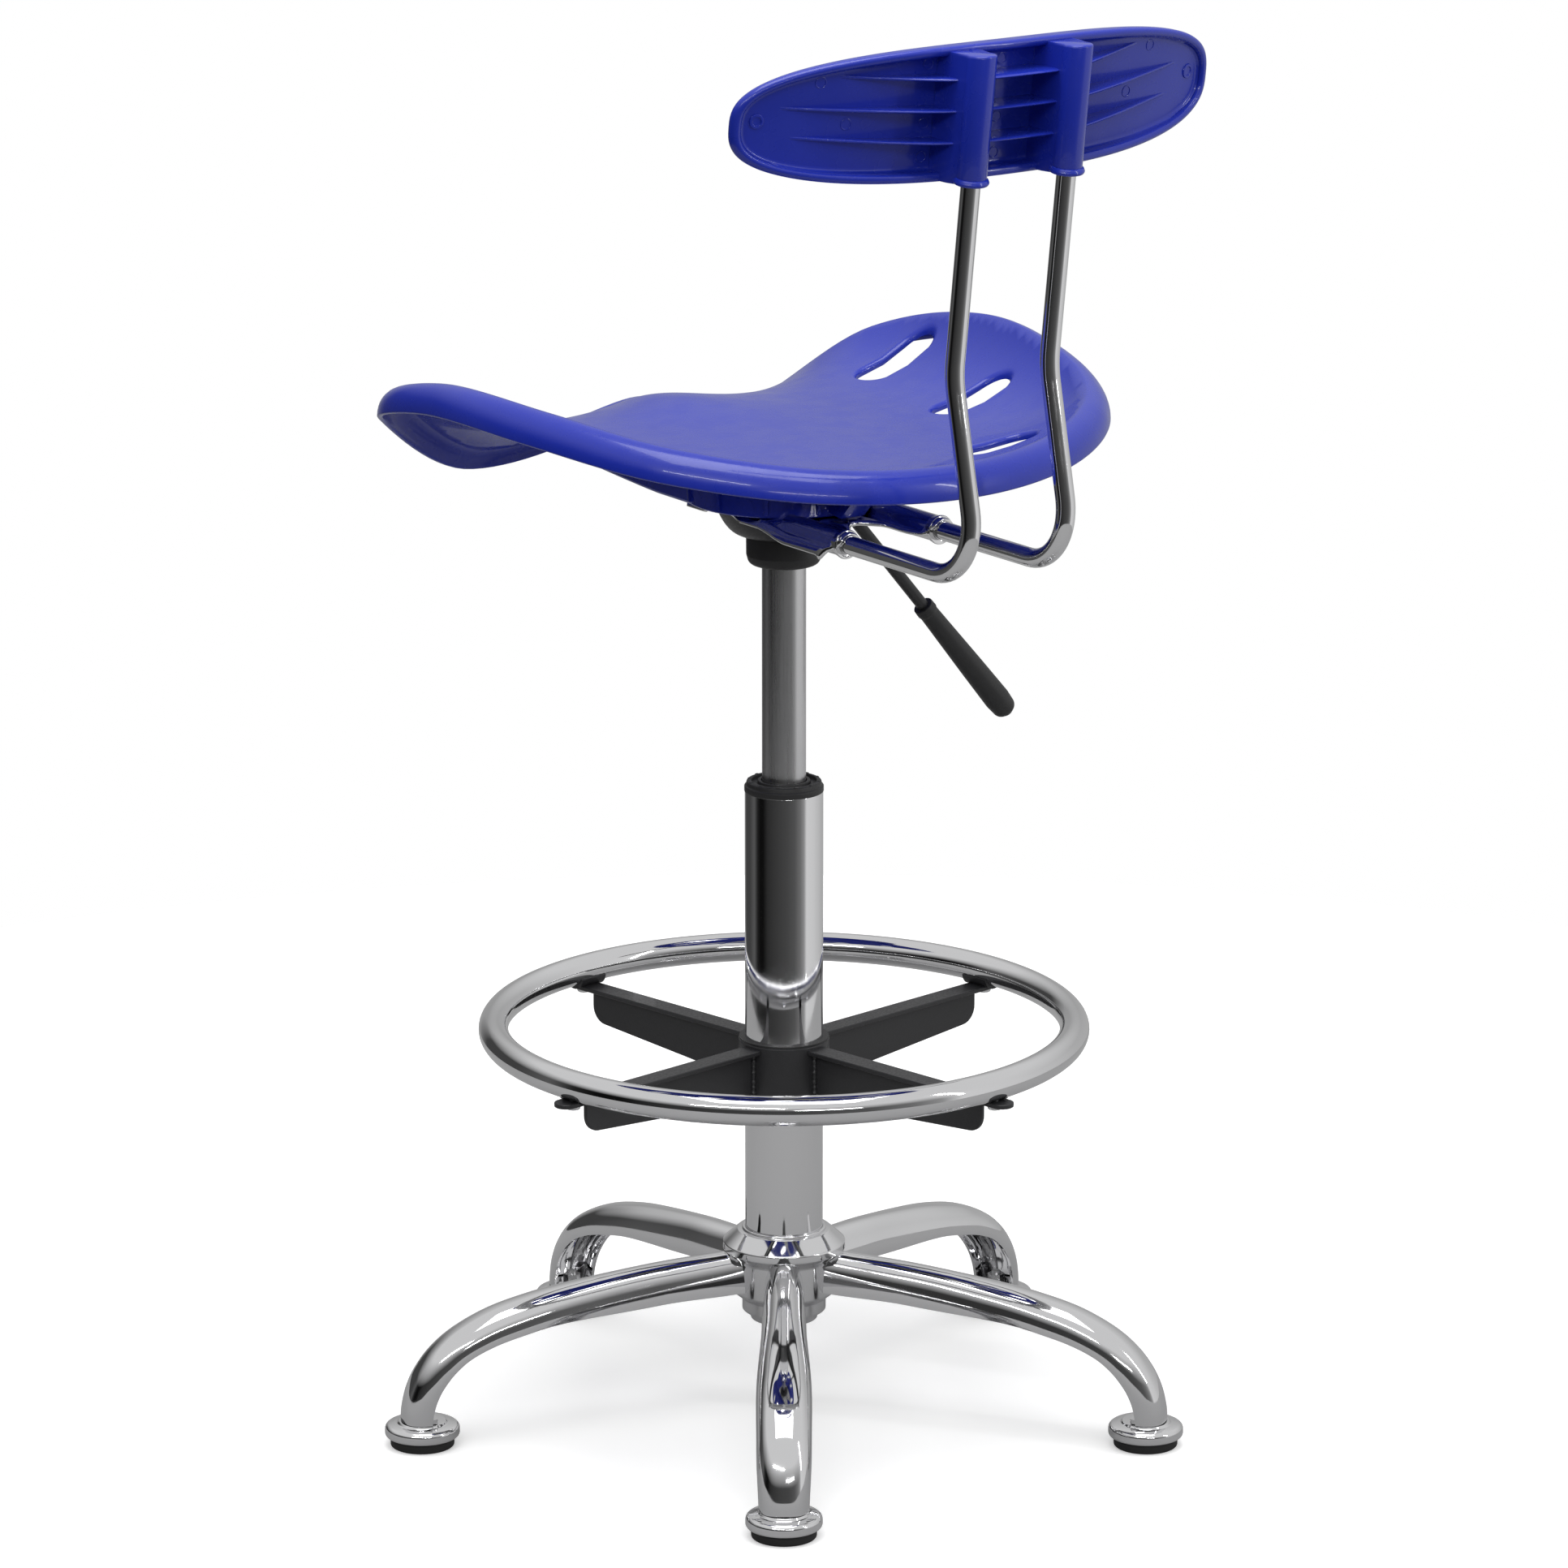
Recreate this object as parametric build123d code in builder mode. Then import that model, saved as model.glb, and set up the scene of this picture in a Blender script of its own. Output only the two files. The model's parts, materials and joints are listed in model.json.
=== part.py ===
"""Drafting chair: five-leg base, gas lift, adjustable foot ring, moulded seat and backrest.

Millimetres. The origin is on the floor on the column's axis, +Z is up, the sitter looks
along -Y, and the sitter's left is +X.
"""
from build123d import *
import os
from math import asin, atan2, cos, degrees, exp, radians, sin, tan

os.makedirs("parts", exist_ok=True)

# ---------------------------------------------------------------- driving dimensions
# Base
leg_count = 5
leg_first_angle = 55.0         # direction of the first leg, degrees from +X
foot_circle_radius = 243.0     # column axis to the middle of a glide
leg_width = 36.0
leg_height = 18.5
leg_wall = 2.0
leg_ridge_height = 110.5       # top of the leg where it leaves the hub
leg_crown_radius = 800.0       # ridge's long gentle arc from the hub outwards
leg_knee_radius = 66.0         # ridge's tight arc down to the glide
leg_start_slope = 3.0          # degrees below level at the hub
leg_end_slope = 86.0           # degrees below level at the glide
leg_side_share = 0.35          # upright part of a leg's sides
foot_tongue_thickness = 3.0
hub_top = 122.0
hub_rim_width = 5.0
hub_flange_radius = 39.5
hub_flange_height = 111.0
hub_flange_bevel = 5.0
hub_body_radius = 33.0
hub_body_bottom = 78.0
hub_lobe_radius = 27.0
hub_lobe_bottom = 66.0
hub_skirt_radius = 21.5
hub_bottom = 60.0
hub_bore_radius = 12.0

# Glides
glide_radius = 24.0
glide_neck_radius = 14.0
glide_height = 11.0
glide_pad_radius = 20.5
glide_pad_height = 6.0
glide_pad_sink = 2.0           # how far the pad goes up into the chrome cup
glide_stem_diameter = 6.0
glide_nut_size = 10.0          # across flats
glide_nut_height = 5.0

# Column and gas lift
column_diameter = 50.0
column_wall = 2.0
column_bottom = 70.0
column_top = 413.0
column_floor_height = 78.0
column_floor_thickness = 4.0
cap_height = 7.0
cap_groove_depth = 1.5
bush_length = 80.0
cylinder_diameter = 28.0
cylinder_wall = 1.6
cylinder_bottom = 272.0
cylinder_top = 585.0
cylinder_head = 25.0           # solid head above the bore
taper_top_diameter = 26.0
seal_height = 14.0
rod_diameter = 10.0
rod_end_diameter = 8.0
rod_end_bottom = 73.0
piston_height = 12.0
piston_top = 404.0
shaft_gap = 0.05               # radial running clearance of turning and sliding fits
bearing_ball_diameter = 5.0
bearing_ball_count = 8
bearing_ball_circle = 10.0
bearing_radius = 14.0
bearing_washer_thickness = 2.0
bearing_cage_thickness = 1.5
clip_diameter = 16.0
clip_thickness = 1.5
pin_diameter = 6.0
pin_length = 25.0
pin_gap = 0.5                  # between the release pin and the lever at rest

# Foot ring
ring_radius = 186.0            # centreline
ring_tube_diameter = 19.0
ring_tube_wall = 1.5
ring_height = 257.0
arm_count = 4
arm_first_angle = 10.0
arm_width = 15.0
arm_thickness = 3.0
arm_depth_outer = 23.5
arm_depth_inner = 35.0
arm_corner = 12.0
arm_web_length = 176.0         # from the axis to the web's outer end
arm_tab_overhang = 4.0
collar_diameter = 58.6
collar_wall = 2.3
collar_rise = 2.0              # collar above the arms
ring_bush_lip = 1.2
ring_screw_diameter = 5.0
ring_screw_head = 9.0
ring_screw_head_height = 3.0
set_screw_diameter = 6.0

# Seat carrier
plate_top = 603.0
plate_thickness = 2.5
plate_width = 98.0
plate_front = -50.0
plate_rear = 58.0
plate_corner = 12.0
seat_screw_spread = 38.0
seat_screw_diameter = 5.0
seat_screw_length = 22.0
seat_screw_head = 9.5
seat_screw_head_height = 3.0
dome_radius = 44.0
dome_bottom = 580.0
dome_throat_radius = 24.0
dome_wall = 1.5
lever_window_width = 15.0
socket_diameter = 38.0
socket_bottom = 562.0
boot_diameter = 48.0
boot_floor = 2.0
boot_edge = 9.0

# Backrest bars
bar_diameter = 12.0
bar_spacing = 71.0
bar_height = 599.5
bar_start = 60.0
bar_rear = 255.0               # y of the corner of the lower bend
bar_bend_radius = 36.0
bar_knee_y = 228.0
bar_knee_height = 722.0
bar_knee_radius = 60.0
bar_top_y = 252.0
bar_top = 905.0
sleeve_wall = 2.2
sleeve_end = 119.0

# Backrest
back_width = 353.0
back_height = 83.0
back_middle = 882.5            # height of the middle of the shell
back_roundness = 2.8           # exponent of the oval outline
back_depth = 15.0              # front face to the rear edge of the rim, at the middle
back_end_depth = 8.0           # the same at the ends
back_skin = 3.5
back_rim = 5.5
back_bow_radius = 600.0        # curve of the front face round the sitter
back_front_gap = 32.0          # front face ahead of the bars' centres
back_socket_diameter = 19.0
back_socket_lip_diameter = 22.5
back_socket_lip_height = 3.0
back_socket_rise = 1.0         # socket's foot above the shell's lower edge
back_rib_pitch = 20.5
back_rib_offset = 3.0          # middle rib above the middle of the shell
back_rib_count = 3
back_rib_thickness = 2.5
back_rib_rear = 1.0            # rear edge of the ribs behind the bars' centres
back_rib_reach = 150.0         # where the ribs run out into the skin

# Seat
seat_centre_y = 22.0
seat_base = 642.0              # height of the dish's top face
seat_wall = 4.0
seat_rim_drop = 18.0
seat_rim_roll = 16.0
seat_dish_power = 6.0          # how late the dish turns up to the rim
seat_pommel_height = 8.0
seat_pommel_y = -128.0
seat_pommel_width = 51.0
seat_pommel_length = 68.0
seat_rim_points = 48
# Rim stations from the rear middle to the front middle: angle from the rear, distance
# of the lip from the seat's centre, height of the crest
seat_rim = [
    (0.0, 175.0, 657.0),
    (30.0, 180.0, 661.0),
    (60.0, 193.0, 672.0),
    (90.0, 206.0, 684.0),
    (115.0, 237.0, 687.0),
    (135.0, 273.0, 666.0),
    (155.0, 252.0, 617.0),
    (180.0, 200.0, 634.0),
]
slot_length = 56.0
slot_width = 25.0
slot_places = [(86.0, 108.0), (145.0, 1.0), (163.0, -107.0)]   # on the sitter's left
skirt_radius = 62.0
skirt_wall = 3.0
skirt_rib_count = 8
skirt_hub_radius = 12.0
boss_radius = 6.5

# Lever
lever_diameter = 8.0
lever_height = 594.0
lever_pivot_x = -24.0
lever_inner_end = 5.0
lever_bend_x = -44.0
lever_bend_radius = 14.0
lever_drop_angle = 49.5        # degrees below level
lever_length = 205.0           # bend's corner to the tip of the grip
grip_length = 106.0
grip_start_diameter = 12.5
grip_end_diameter = 17.0
grip_collar_diameter = 15.0
grip_collar_length = 6.0
grip_bite = 30.0               # how far the rod goes into the grip
pivot_pin_diameter = 4.0
ear_thickness = 2.5
ear_radius = 5.0
ear_gap = 0.3                  # side clearance between the lever and each ear

# ---------------------------------------------------------------- derived dimensions
leg_angles = [leg_first_angle + index * 360 / leg_count for index in range(leg_count)]
column_bore = column_diameter - 2 * column_wall
floor_top = column_floor_height + column_floor_thickness
balls_bottom = floor_top + bearing_washer_thickness
upper_washer_bottom = balls_bottom + bearing_ball_diameter + 2 * shaft_gap
rod_shoulder = upper_washer_bottom + bearing_washer_thickness
cylinder_bore = cylinder_diameter - 2 * cylinder_wall
glide_top = glide_pad_height + glide_height
tongue_top = glide_top + foot_tongue_thickness
arm_top = ring_height - ring_tube_diameter / 2
collar_top = arm_top + collar_rise
collar_bottom = arm_top - arm_depth_inner
ring_bush_diameter = collar_diameter - 2 * collar_wall
plate_bottom = plate_top - plate_thickness
bar_x = bar_spacing / 2
lever_under = lever_height - lever_diameter / 2
pin_top = lever_under - pin_gap
bar_lean = degrees(atan2(bar_top_y - bar_knee_y, bar_top - bar_knee_height))
back_y = bar_knee_y + (back_middle - bar_knee_height) * tan(radians(bar_lean))


def save(piece, name):
    """Label a finished piece and write it as one STEP file."""
    piece.label = name
    export_step(piece, f"parts/{name}.step")


# ---------------------------------------------------------------- base: hub and column
with BuildPart() as base_hub:
    with BuildSketch(Plane.XZ):
        with BuildLine():
            Polyline(
                (column_diameter / 2, column_bottom),
                (column_diameter / 2, hub_top),
                (column_diameter / 2 + hub_rim_width, hub_top),
                (hub_flange_radius, hub_flange_height + hub_flange_bevel / 2),
                (hub_flange_radius, hub_flange_height - hub_flange_bevel / 2),
                (hub_body_radius, hub_flange_height - hub_flange_bevel),
                (hub_body_radius, hub_body_bottom),
                (hub_lobe_radius, hub_body_bottom),
                (hub_lobe_radius, hub_lobe_bottom),
                (hub_skirt_radius, hub_lobe_bottom),
                (hub_skirt_radius, hub_bottom),
                (hub_bore_radius, hub_bottom),
                (hub_bore_radius, column_bottom),
                close=True,
            )
        make_face()
    revolve(axis=Axis.Z)
save(base_hub.part, "base_hub")

with BuildPart() as column_tube:
    with BuildSketch(Plane.XY.offset(column_bottom)):
        Circle(column_diameter / 2)
        Circle(column_bore / 2, mode=Mode.SUBTRACT)
    extrude(amount=column_top - column_bottom)
    with BuildSketch(Plane.XY.offset(column_floor_height)):
        Circle(column_bore / 2)
        Circle(rod_end_diameter / 2 + shaft_gap, mode=Mode.SUBTRACT)
    extrude(amount=column_floor_thickness)
save(column_tube.part, "column_tube")

with BuildPart() as column_cap:
    with BuildSketch(Plane.XY.offset(column_top)):
        Circle(column_diameter / 2)
        Circle(cylinder_diameter / 2 + 1, mode=Mode.SUBTRACT)
    extrude(amount=cap_height)
    fillet(column_cap.edges().group_by(Axis.Z)[-1].sort_by(SortBy.RADIUS)[-1], cap_height * 0.4)
    with BuildSketch(Plane.XY.offset(column_top + cap_height)):
        Circle(column_diameter / 2 - 5)
        Circle(cylinder_diameter / 2 + 3, mode=Mode.SUBTRACT)
    extrude(amount=-cap_groove_depth, mode=Mode.SUBTRACT)
save(column_cap.part, "column_cap")

with BuildPart() as guide_bush:
    with BuildSketch(Plane.XY.offset(column_top - bush_length)):
        Circle(column_bore / 2)
        Circle(cylinder_diameter / 2 + shaft_gap, mode=Mode.SUBTRACT)
    extrude(amount=bush_length)
save(guide_bush.part, "guide_bush")

# ---------------------------------------------------------------- base: thrust bearing
for name, height in (
    ("bearing_lower_washer", floor_top),
    ("bearing_upper_washer", upper_washer_bottom),
):
    with BuildPart() as washer:
        with BuildSketch(Plane.XY.offset(height)):
            Circle(bearing_radius)
            Circle(rod_end_diameter / 2 + shaft_gap, mode=Mode.SUBTRACT)
        extrude(amount=bearing_washer_thickness)
    save(washer.part, name)

ball_centre = balls_bottom + bearing_ball_diameter / 2
with BuildPart() as bearing_balls:
    with Locations(Plane.XY.offset(ball_centre)):
        with PolarLocations(bearing_ball_circle, bearing_ball_count):
            Sphere(bearing_ball_diameter / 2)
save(bearing_balls.part, "bearing_balls")

with BuildPart() as bearing_cage:
    with BuildSketch(Plane.XY.offset(ball_centre - bearing_cage_thickness / 2)):
        Circle(bearing_radius)
        Circle(rod_end_diameter / 2 + 1, mode=Mode.SUBTRACT)
        with PolarLocations(bearing_ball_circle, bearing_ball_count):
            Circle(bearing_ball_diameter / 2, mode=Mode.SUBTRACT)
    extrude(amount=bearing_cage_thickness)
save(bearing_cage.part, "bearing_cage")

# ---------------------------------------------------------------- base: legs
# The leg's path is its open lower side: a gentle arc, a knee, then a short straight run
# that is trimmed level with the top of the glide.
leg_start_x = hub_body_radius - 4
crown_radius = leg_crown_radius - leg_height
knee_radius = leg_knee_radius - leg_height
leg_end_x = foot_circle_radius - leg_height / 2
crown_end_sine = (
    leg_end_x
    - leg_start_x
    + crown_radius * sin(radians(leg_start_slope))
    - knee_radius * sin(radians(leg_end_slope))
) / (crown_radius - knee_radius)
crown_turn = degrees(asin(crown_end_sine)) - leg_start_slope
knee_turn = leg_end_slope - leg_start_slope - crown_turn

with BuildLine(Plane.XZ) as leg_line:
    crown = JernArc(
        (leg_start_x, leg_ridge_height - leg_height),
        (cos(radians(leg_start_slope)), -sin(radians(leg_start_slope))),
        crown_radius,
        -crown_turn,
    )
    knee = JernArc(crown @ 1, crown % 1, knee_radius, -knee_turn)
    Line(knee @ 1, (knee @ 1) + (knee % 1) * leg_height)
leg_section = Plane(origin=crown @ 0, x_dir=(0, 1, 0), z_dir=crown % 0)


def arch(width, height):
    """An arch on the leg's start plane: upright sides under half an ellipse."""
    side = height * leg_side_share
    with BuildSketch(leg_section) as profile:
        with BuildLine():
            EllipticalCenterArc((0, side), width / 2, height - side, start_angle=0, arc_size=180)
            Polyline((-width / 2, side), (-width / 2, 0), (width / 2, 0), (width / 2, side))
        make_face()
    return profile.sketch


with BuildPart() as leg:
    sweep(arch(leg_width, leg_height), path=leg_line.wire())
    with BuildSketch(Plane.XY.offset(glide_top)):
        with Locations((foot_circle_radius, 0)):
            Rectangle(leg_height - leg_wall, leg_width - leg_wall)
    extrude(amount=foot_tongue_thickness)
    split(bisect_by=Plane.XY.offset(glide_top), keep=Keep.TOP)
    with BuildSketch(Plane.XY):
        Circle(hub_body_radius)
    extrude(amount=hub_top, mode=Mode.SUBTRACT)
    with BuildSketch(Plane.XY.offset(hub_flange_height - hub_flange_bevel)):
        Circle(hub_flange_radius)
    extrude(amount=hub_flange_bevel, mode=Mode.SUBTRACT)
with BuildPart() as leg_hollow:
    sweep(arch(leg_width - 2 * leg_wall, leg_height - leg_wall), path=leg_line.wire())
    split(bisect_by=Plane.XY.offset(tongue_top), keep=Keep.TOP)
with BuildPart() as leg_shell:
    add(leg.part)
    add(leg_hollow.part, mode=Mode.SUBTRACT)
    with Locations((foot_circle_radius, 0, glide_top)):
        Cylinder(glide_stem_diameter / 2, 2 * foot_tongue_thickness, mode=Mode.SUBTRACT)
for index, angle in enumerate(leg_angles, 1):
    save(leg_shell.part.rotate(Axis.Z, angle), f"leg_{index}")

# ---------------------------------------------------------------- base: glides
with BuildPart() as glide_cup:
    with BuildSketch(Plane.XZ):
        with BuildLine():
            bead = glide_height * 0.4
            Polyline(
                (0, glide_top),
                (glide_neck_radius, glide_top),
                (glide_radius - bead, glide_pad_height + 2 * bead),
            )
            ThreePointArc(
                (glide_radius - bead, glide_pad_height + 2 * bead),
                (glide_radius, glide_pad_height + bead),
                (glide_radius - bead, glide_pad_height),
            )
            Polyline(
                (glide_radius - bead, glide_pad_height),
                (glide_pad_radius - 2, glide_pad_height),
                (glide_pad_radius - 2, glide_pad_height + glide_pad_sink),
                (0, glide_pad_height + glide_pad_sink),
                (0, glide_top),
            )
        make_face()
    revolve(axis=Axis.Z)
    with Locations((0, 0, glide_top)):
        Hole(glide_stem_diameter / 2, depth=glide_height - glide_pad_sink)

with BuildPart() as glide_pad:
    with BuildSketch():
        Circle(glide_pad_radius)
    extrude(amount=glide_pad_height)
    chamfer(glide_pad.edges().group_by(Axis.Z)[0], 1.2)
    with BuildSketch(Plane.XY.offset(glide_pad_height)):
        Circle(glide_pad_radius - 2)
    extrude(amount=glide_pad_sink)

with BuildPart() as glide_stem:
    with BuildSketch(Plane.XY.offset(glide_pad_height + glide_pad_sink)):
        Circle(glide_stem_diameter / 2)
    extrude(amount=glide_height - glide_pad_sink + foot_tongue_thickness + glide_nut_height + 2)

with BuildPart() as glide_nut:
    with BuildSketch(Plane.XY.offset(tongue_top)):
        RegularPolygon(glide_nut_size / 2, 6, major_radius=False)
        Circle(glide_stem_diameter / 2, mode=Mode.SUBTRACT)
    extrude(amount=glide_nut_height)

for index, angle in enumerate(leg_angles, 1):
    foot_place = Pos(
        foot_circle_radius * cos(radians(angle)),
        foot_circle_radius * sin(radians(angle)),
        0,
    )
    save(foot_place * glide_cup.part, f"glide_cup_{index}")
    save(foot_place * glide_pad.part, f"glide_pad_{index}")

for name, piece in (("glide_stems", glide_stem), ("glide_nuts", glide_nut)):
    with BuildPart() as group:
        with PolarLocations(foot_circle_radius, leg_count, start_angle=leg_first_angle):
            add(piece.part)
    save(group.part, name)

# ---------------------------------------------------------------- foot ring
arm_angles = [arm_first_angle + index * 360 / arm_count for index in range(arm_count)]

with BuildPart() as footring_tube:
    with BuildSketch(Plane.XZ):
        with Locations((ring_radius, ring_height)):
            Circle(ring_tube_diameter / 2)
            Circle(ring_tube_diameter / 2 - ring_tube_wall, mode=Mode.SUBTRACT)
    revolve(axis=Axis.Z)
    with BuildSketch(Plane.XY.offset(ring_height)):
        with PolarLocations(ring_radius, arm_count, start_angle=arm_first_angle):
            Circle(ring_screw_diameter / 2)
    extrude(amount=-ring_tube_diameter, mode=Mode.SUBTRACT)
save(footring_tube.part, "footring_tube")

arm_end = ring_radius + ring_tube_diameter / 2 + arm_tab_overhang - arm_width / 2
with BuildPart() as spider_arm:
    with BuildSketch(Plane.XY.offset(arm_top)):
        with Locations((collar_diameter / 4, 0)):
            Rectangle(
                arm_end - collar_diameter / 4,
                arm_width,
                align=(Align.MIN, Align.CENTER),
            )
        with Locations((arm_end, 0)):
            Circle(arm_width / 2)
    extrude(amount=-arm_thickness)
    with BuildSketch(Plane.XZ) as web:
        with BuildLine():
            Polyline(
                (collar_diameter / 4, arm_top - arm_thickness / 2),
                (arm_web_length, arm_top - arm_thickness / 2),
                (arm_web_length, arm_top - arm_depth_outer),
                (collar_diameter / 4, arm_top - arm_depth_inner),
                close=True,
            )
        make_face()
        fillet(web.vertices().sort_by(Axis.X)[-2:].sort_by(Axis.Y)[0], arm_corner)
    extrude(amount=arm_thickness / 2, both=True)

with BuildPart() as footring_spider:
    for angle in arm_angles:
        add(spider_arm.part.rotate(Axis.Z, angle))
    with BuildSketch(Plane.XY.offset(collar_bottom)):
        Circle(collar_diameter / 2)
    extrude(amount=collar_top - collar_bottom)
    with BuildSketch(Plane.XY.offset(collar_bottom)):
        Circle(ring_bush_diameter / 2)
    extrude(amount=collar_top - collar_bottom, mode=Mode.SUBTRACT)
    with BuildSketch(Plane.XY.offset(arm_top)):
        with PolarLocations(ring_radius, arm_count, start_angle=arm_first_angle):
            Circle(ring_screw_diameter / 2)
    extrude(amount=-arm_thickness, mode=Mode.SUBTRACT)
    with Locations((0, 0, (collar_bottom + arm_top) / 2)):
        with PolarLocations(0, 2, start_angle=arm_first_angle + 180 / arm_count):
            Cylinder(
                set_screw_diameter / 2,
                collar_diameter / 2,
                rotation=(0, 90, 0),
                align=(Align.CENTER, Align.CENTER, Align.MIN),
                mode=Mode.SUBTRACT,
            )
save(footring_spider.part, "footring_spider")

with BuildPart() as footring_bush:
    with BuildSketch(Plane.XY.offset(collar_bottom)):
        Circle(ring_bush_diameter / 2)
    extrude(amount=collar_top - collar_bottom)
    with BuildSketch(Plane.XY.offset(collar_top)):
        Circle(collar_diameter / 2 - 0.5)
    extrude(amount=ring_bush_lip)
    with BuildSketch(Plane.XY.offset(collar_bottom)):
        Circle(column_diameter / 2 + shaft_gap)
    extrude(amount=collar_top - collar_bottom + ring_bush_lip, mode=Mode.SUBTRACT)
save(footring_bush.part, "footring_bush")

with BuildPart() as footring_set_screws:
    with Locations((0, 0, (collar_bottom + arm_top) / 2)):
        with PolarLocations(0, 2, start_angle=arm_first_angle + 180 / arm_count):
            Cylinder(
                set_screw_diameter / 2,
                collar_diameter / 2 - 0.5,
                rotation=(0, 90, 0),
                align=(Align.CENTER, Align.CENTER, Align.MIN),
            )
    with BuildSketch(Plane.XY.offset(collar_bottom)):
        Circle(ring_bush_diameter / 2)
    extrude(amount=collar_top - collar_bottom, mode=Mode.SUBTRACT)
save(footring_set_screws.part, "footring_set_screws")

with BuildPart() as footring_screws:
    with BuildSketch(Plane.XY.offset(arm_top - arm_thickness)):
        with PolarLocations(ring_radius, arm_count, start_angle=arm_first_angle):
            Circle(ring_screw_head / 2)
    extrude(amount=-ring_screw_head_height)
    fillet(footring_screws.edges().group_by(Axis.Z)[0], ring_screw_head_height * 0.4)
    with BuildSketch(Plane.XY.offset(arm_top - arm_thickness)):
        with PolarLocations(ring_radius, arm_count, start_angle=arm_first_angle):
            Circle(ring_screw_diameter / 2)
    extrude(amount=arm_thickness + ring_tube_wall + 2)
save(footring_screws.part, "footring_screws")

# ---------------------------------------------------------------- gas lift: rod side
with BuildPart() as piston_rod:
    with BuildSketch(Plane.XY.offset(rod_shoulder)):
        Circle(rod_diameter / 2)
    extrude(amount=piston_top - piston_height - rod_shoulder)
    with BuildSketch(Plane.XY.offset(piston_top - piston_height)):
        Circle(rod_end_diameter / 2)
    extrude(amount=piston_height)
    with BuildSketch(Plane.XY.offset(rod_end_bottom)):
        Circle(rod_end_diameter / 2)
    extrude(amount=rod_shoulder - rod_end_bottom)
save(piston_rod.part, "piston_rod")

with BuildPart() as piston:
    with BuildSketch(Plane.XY.offset(piston_top - piston_height)):
        Circle(cylinder_bore / 2 - shaft_gap)
        Circle(rod_end_diameter / 2, mode=Mode.SUBTRACT)
    extrude(amount=piston_height)
save(piston.part, "piston")

clip_top = column_floor_height - 4 * shaft_gap
with BuildPart() as rod_clip:
    with BuildSketch(Plane.XY.offset(clip_top - clip_thickness)):
        Circle(clip_diameter / 2)
        Circle(rod_end_diameter / 2, mode=Mode.SUBTRACT)
        with Locations((clip_diameter / 2, 0)):
            Rectangle(clip_diameter, rod_end_diameter * 0.6, mode=Mode.SUBTRACT)
    extrude(amount=clip_thickness)
save(rod_clip.part, "rod_clip")

# ---------------------------------------------------------------- gas lift: cylinder side
with BuildPart() as gas_cylinder:
    with BuildSketch(Plane.XZ):
        with BuildLine():
            Polyline(
                (0, cylinder_bottom),
                (cylinder_diameter / 2, cylinder_bottom),
                (cylinder_diameter / 2, socket_bottom),
                (taper_top_diameter / 2, cylinder_top),
                (0, cylinder_top),
                close=True,
            )
        make_face()
    revolve(axis=Axis.Z)
    with BuildSketch(Plane.XY.offset(cylinder_bottom)):
        Circle(cylinder_bore / 2)
    extrude(amount=cylinder_top - cylinder_head - cylinder_bottom, mode=Mode.SUBTRACT)
    with BuildSketch(Plane.XY.offset(cylinder_top)):
        Circle(pin_diameter / 2 + shaft_gap)
    extrude(amount=-cylinder_head, mode=Mode.SUBTRACT)
save(gas_cylinder.part, "gas_cylinder")

with BuildPart() as cylinder_seal:
    with BuildSketch(Plane.XY.offset(cylinder_bottom)):
        Circle(cylinder_bore / 2)
        Circle(rod_diameter / 2 + shaft_gap, mode=Mode.SUBTRACT)
    extrude(amount=seal_height)
save(cylinder_seal.part, "cylinder_seal")

with BuildPart() as release_pin:
    with BuildSketch(Plane.XY.offset(pin_top)):
        Circle(pin_diameter / 2)
    extrude(amount=-pin_length)
    chamfer(release_pin.edges().group_by(Axis.Z)[-1], 0.8)
save(release_pin.part, "release_pin")

# ---------------------------------------------------------------- seat carrier
ear_y = lever_diameter / 2 + ear_gap

with BuildPart() as seat_plate:
    with BuildSketch(Plane.XY.offset(plate_bottom)) as plate_outline:
        with Locations((0, (plate_front + plate_rear) / 2)):
            Rectangle(plate_width, plate_rear - plate_front)
        chamfer(plate_outline.vertices().group_by(Axis.Y)[0], plate_corner)
        for side in (-1, 1):
            with Locations((side * bar_x, (plate_rear + sleeve_end) / 2)):
                Rectangle(bar_diameter + 2 * sleeve_wall + 4, sleeve_end - plate_rear)
    extrude(amount=plate_thickness)
    with BuildSketch(Plane.XZ.offset(-bar_start + 2)):
        with Locations((-bar_x, bar_height), (bar_x, bar_height)):
            Circle(bar_diameter / 2 + sleeve_wall)
    extrude(amount=bar_start - 2 - sleeve_end)
    with BuildSketch(Plane.XZ.offset(-bar_start)):
        with Locations((-bar_x, bar_height), (bar_x, bar_height)):
            Circle(bar_diameter / 2)
    extrude(amount=bar_start - sleeve_end, mode=Mode.SUBTRACT)
    for side in (-1, 1):
        with BuildSketch(Plane.XZ.offset(side * ear_y)):
            with Locations((lever_pivot_x, lever_height)):
                Circle(ear_radius)
            with Locations((lever_pivot_x, (lever_height + plate_bottom) / 2)):
                Rectangle(2 * ear_radius, plate_bottom - lever_height)
        extrude(amount=side * ear_thickness)
    with BuildSketch(Plane.XZ.offset(-ear_y - ear_thickness)):
        with Locations((lever_pivot_x, lever_height)):
            Circle(pivot_pin_diameter / 2)
    extrude(amount=2 * (ear_y + ear_thickness), mode=Mode.SUBTRACT)
    with BuildSketch(Plane.XY.offset(plate_bottom)):
        with GridLocations(2 * seat_screw_spread, 2 * seat_screw_spread, 2, 2):
            Circle(seat_screw_diameter / 2)
    extrude(amount=plate_thickness, mode=Mode.SUBTRACT)
save(seat_plate.part, "seat_plate")

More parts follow.
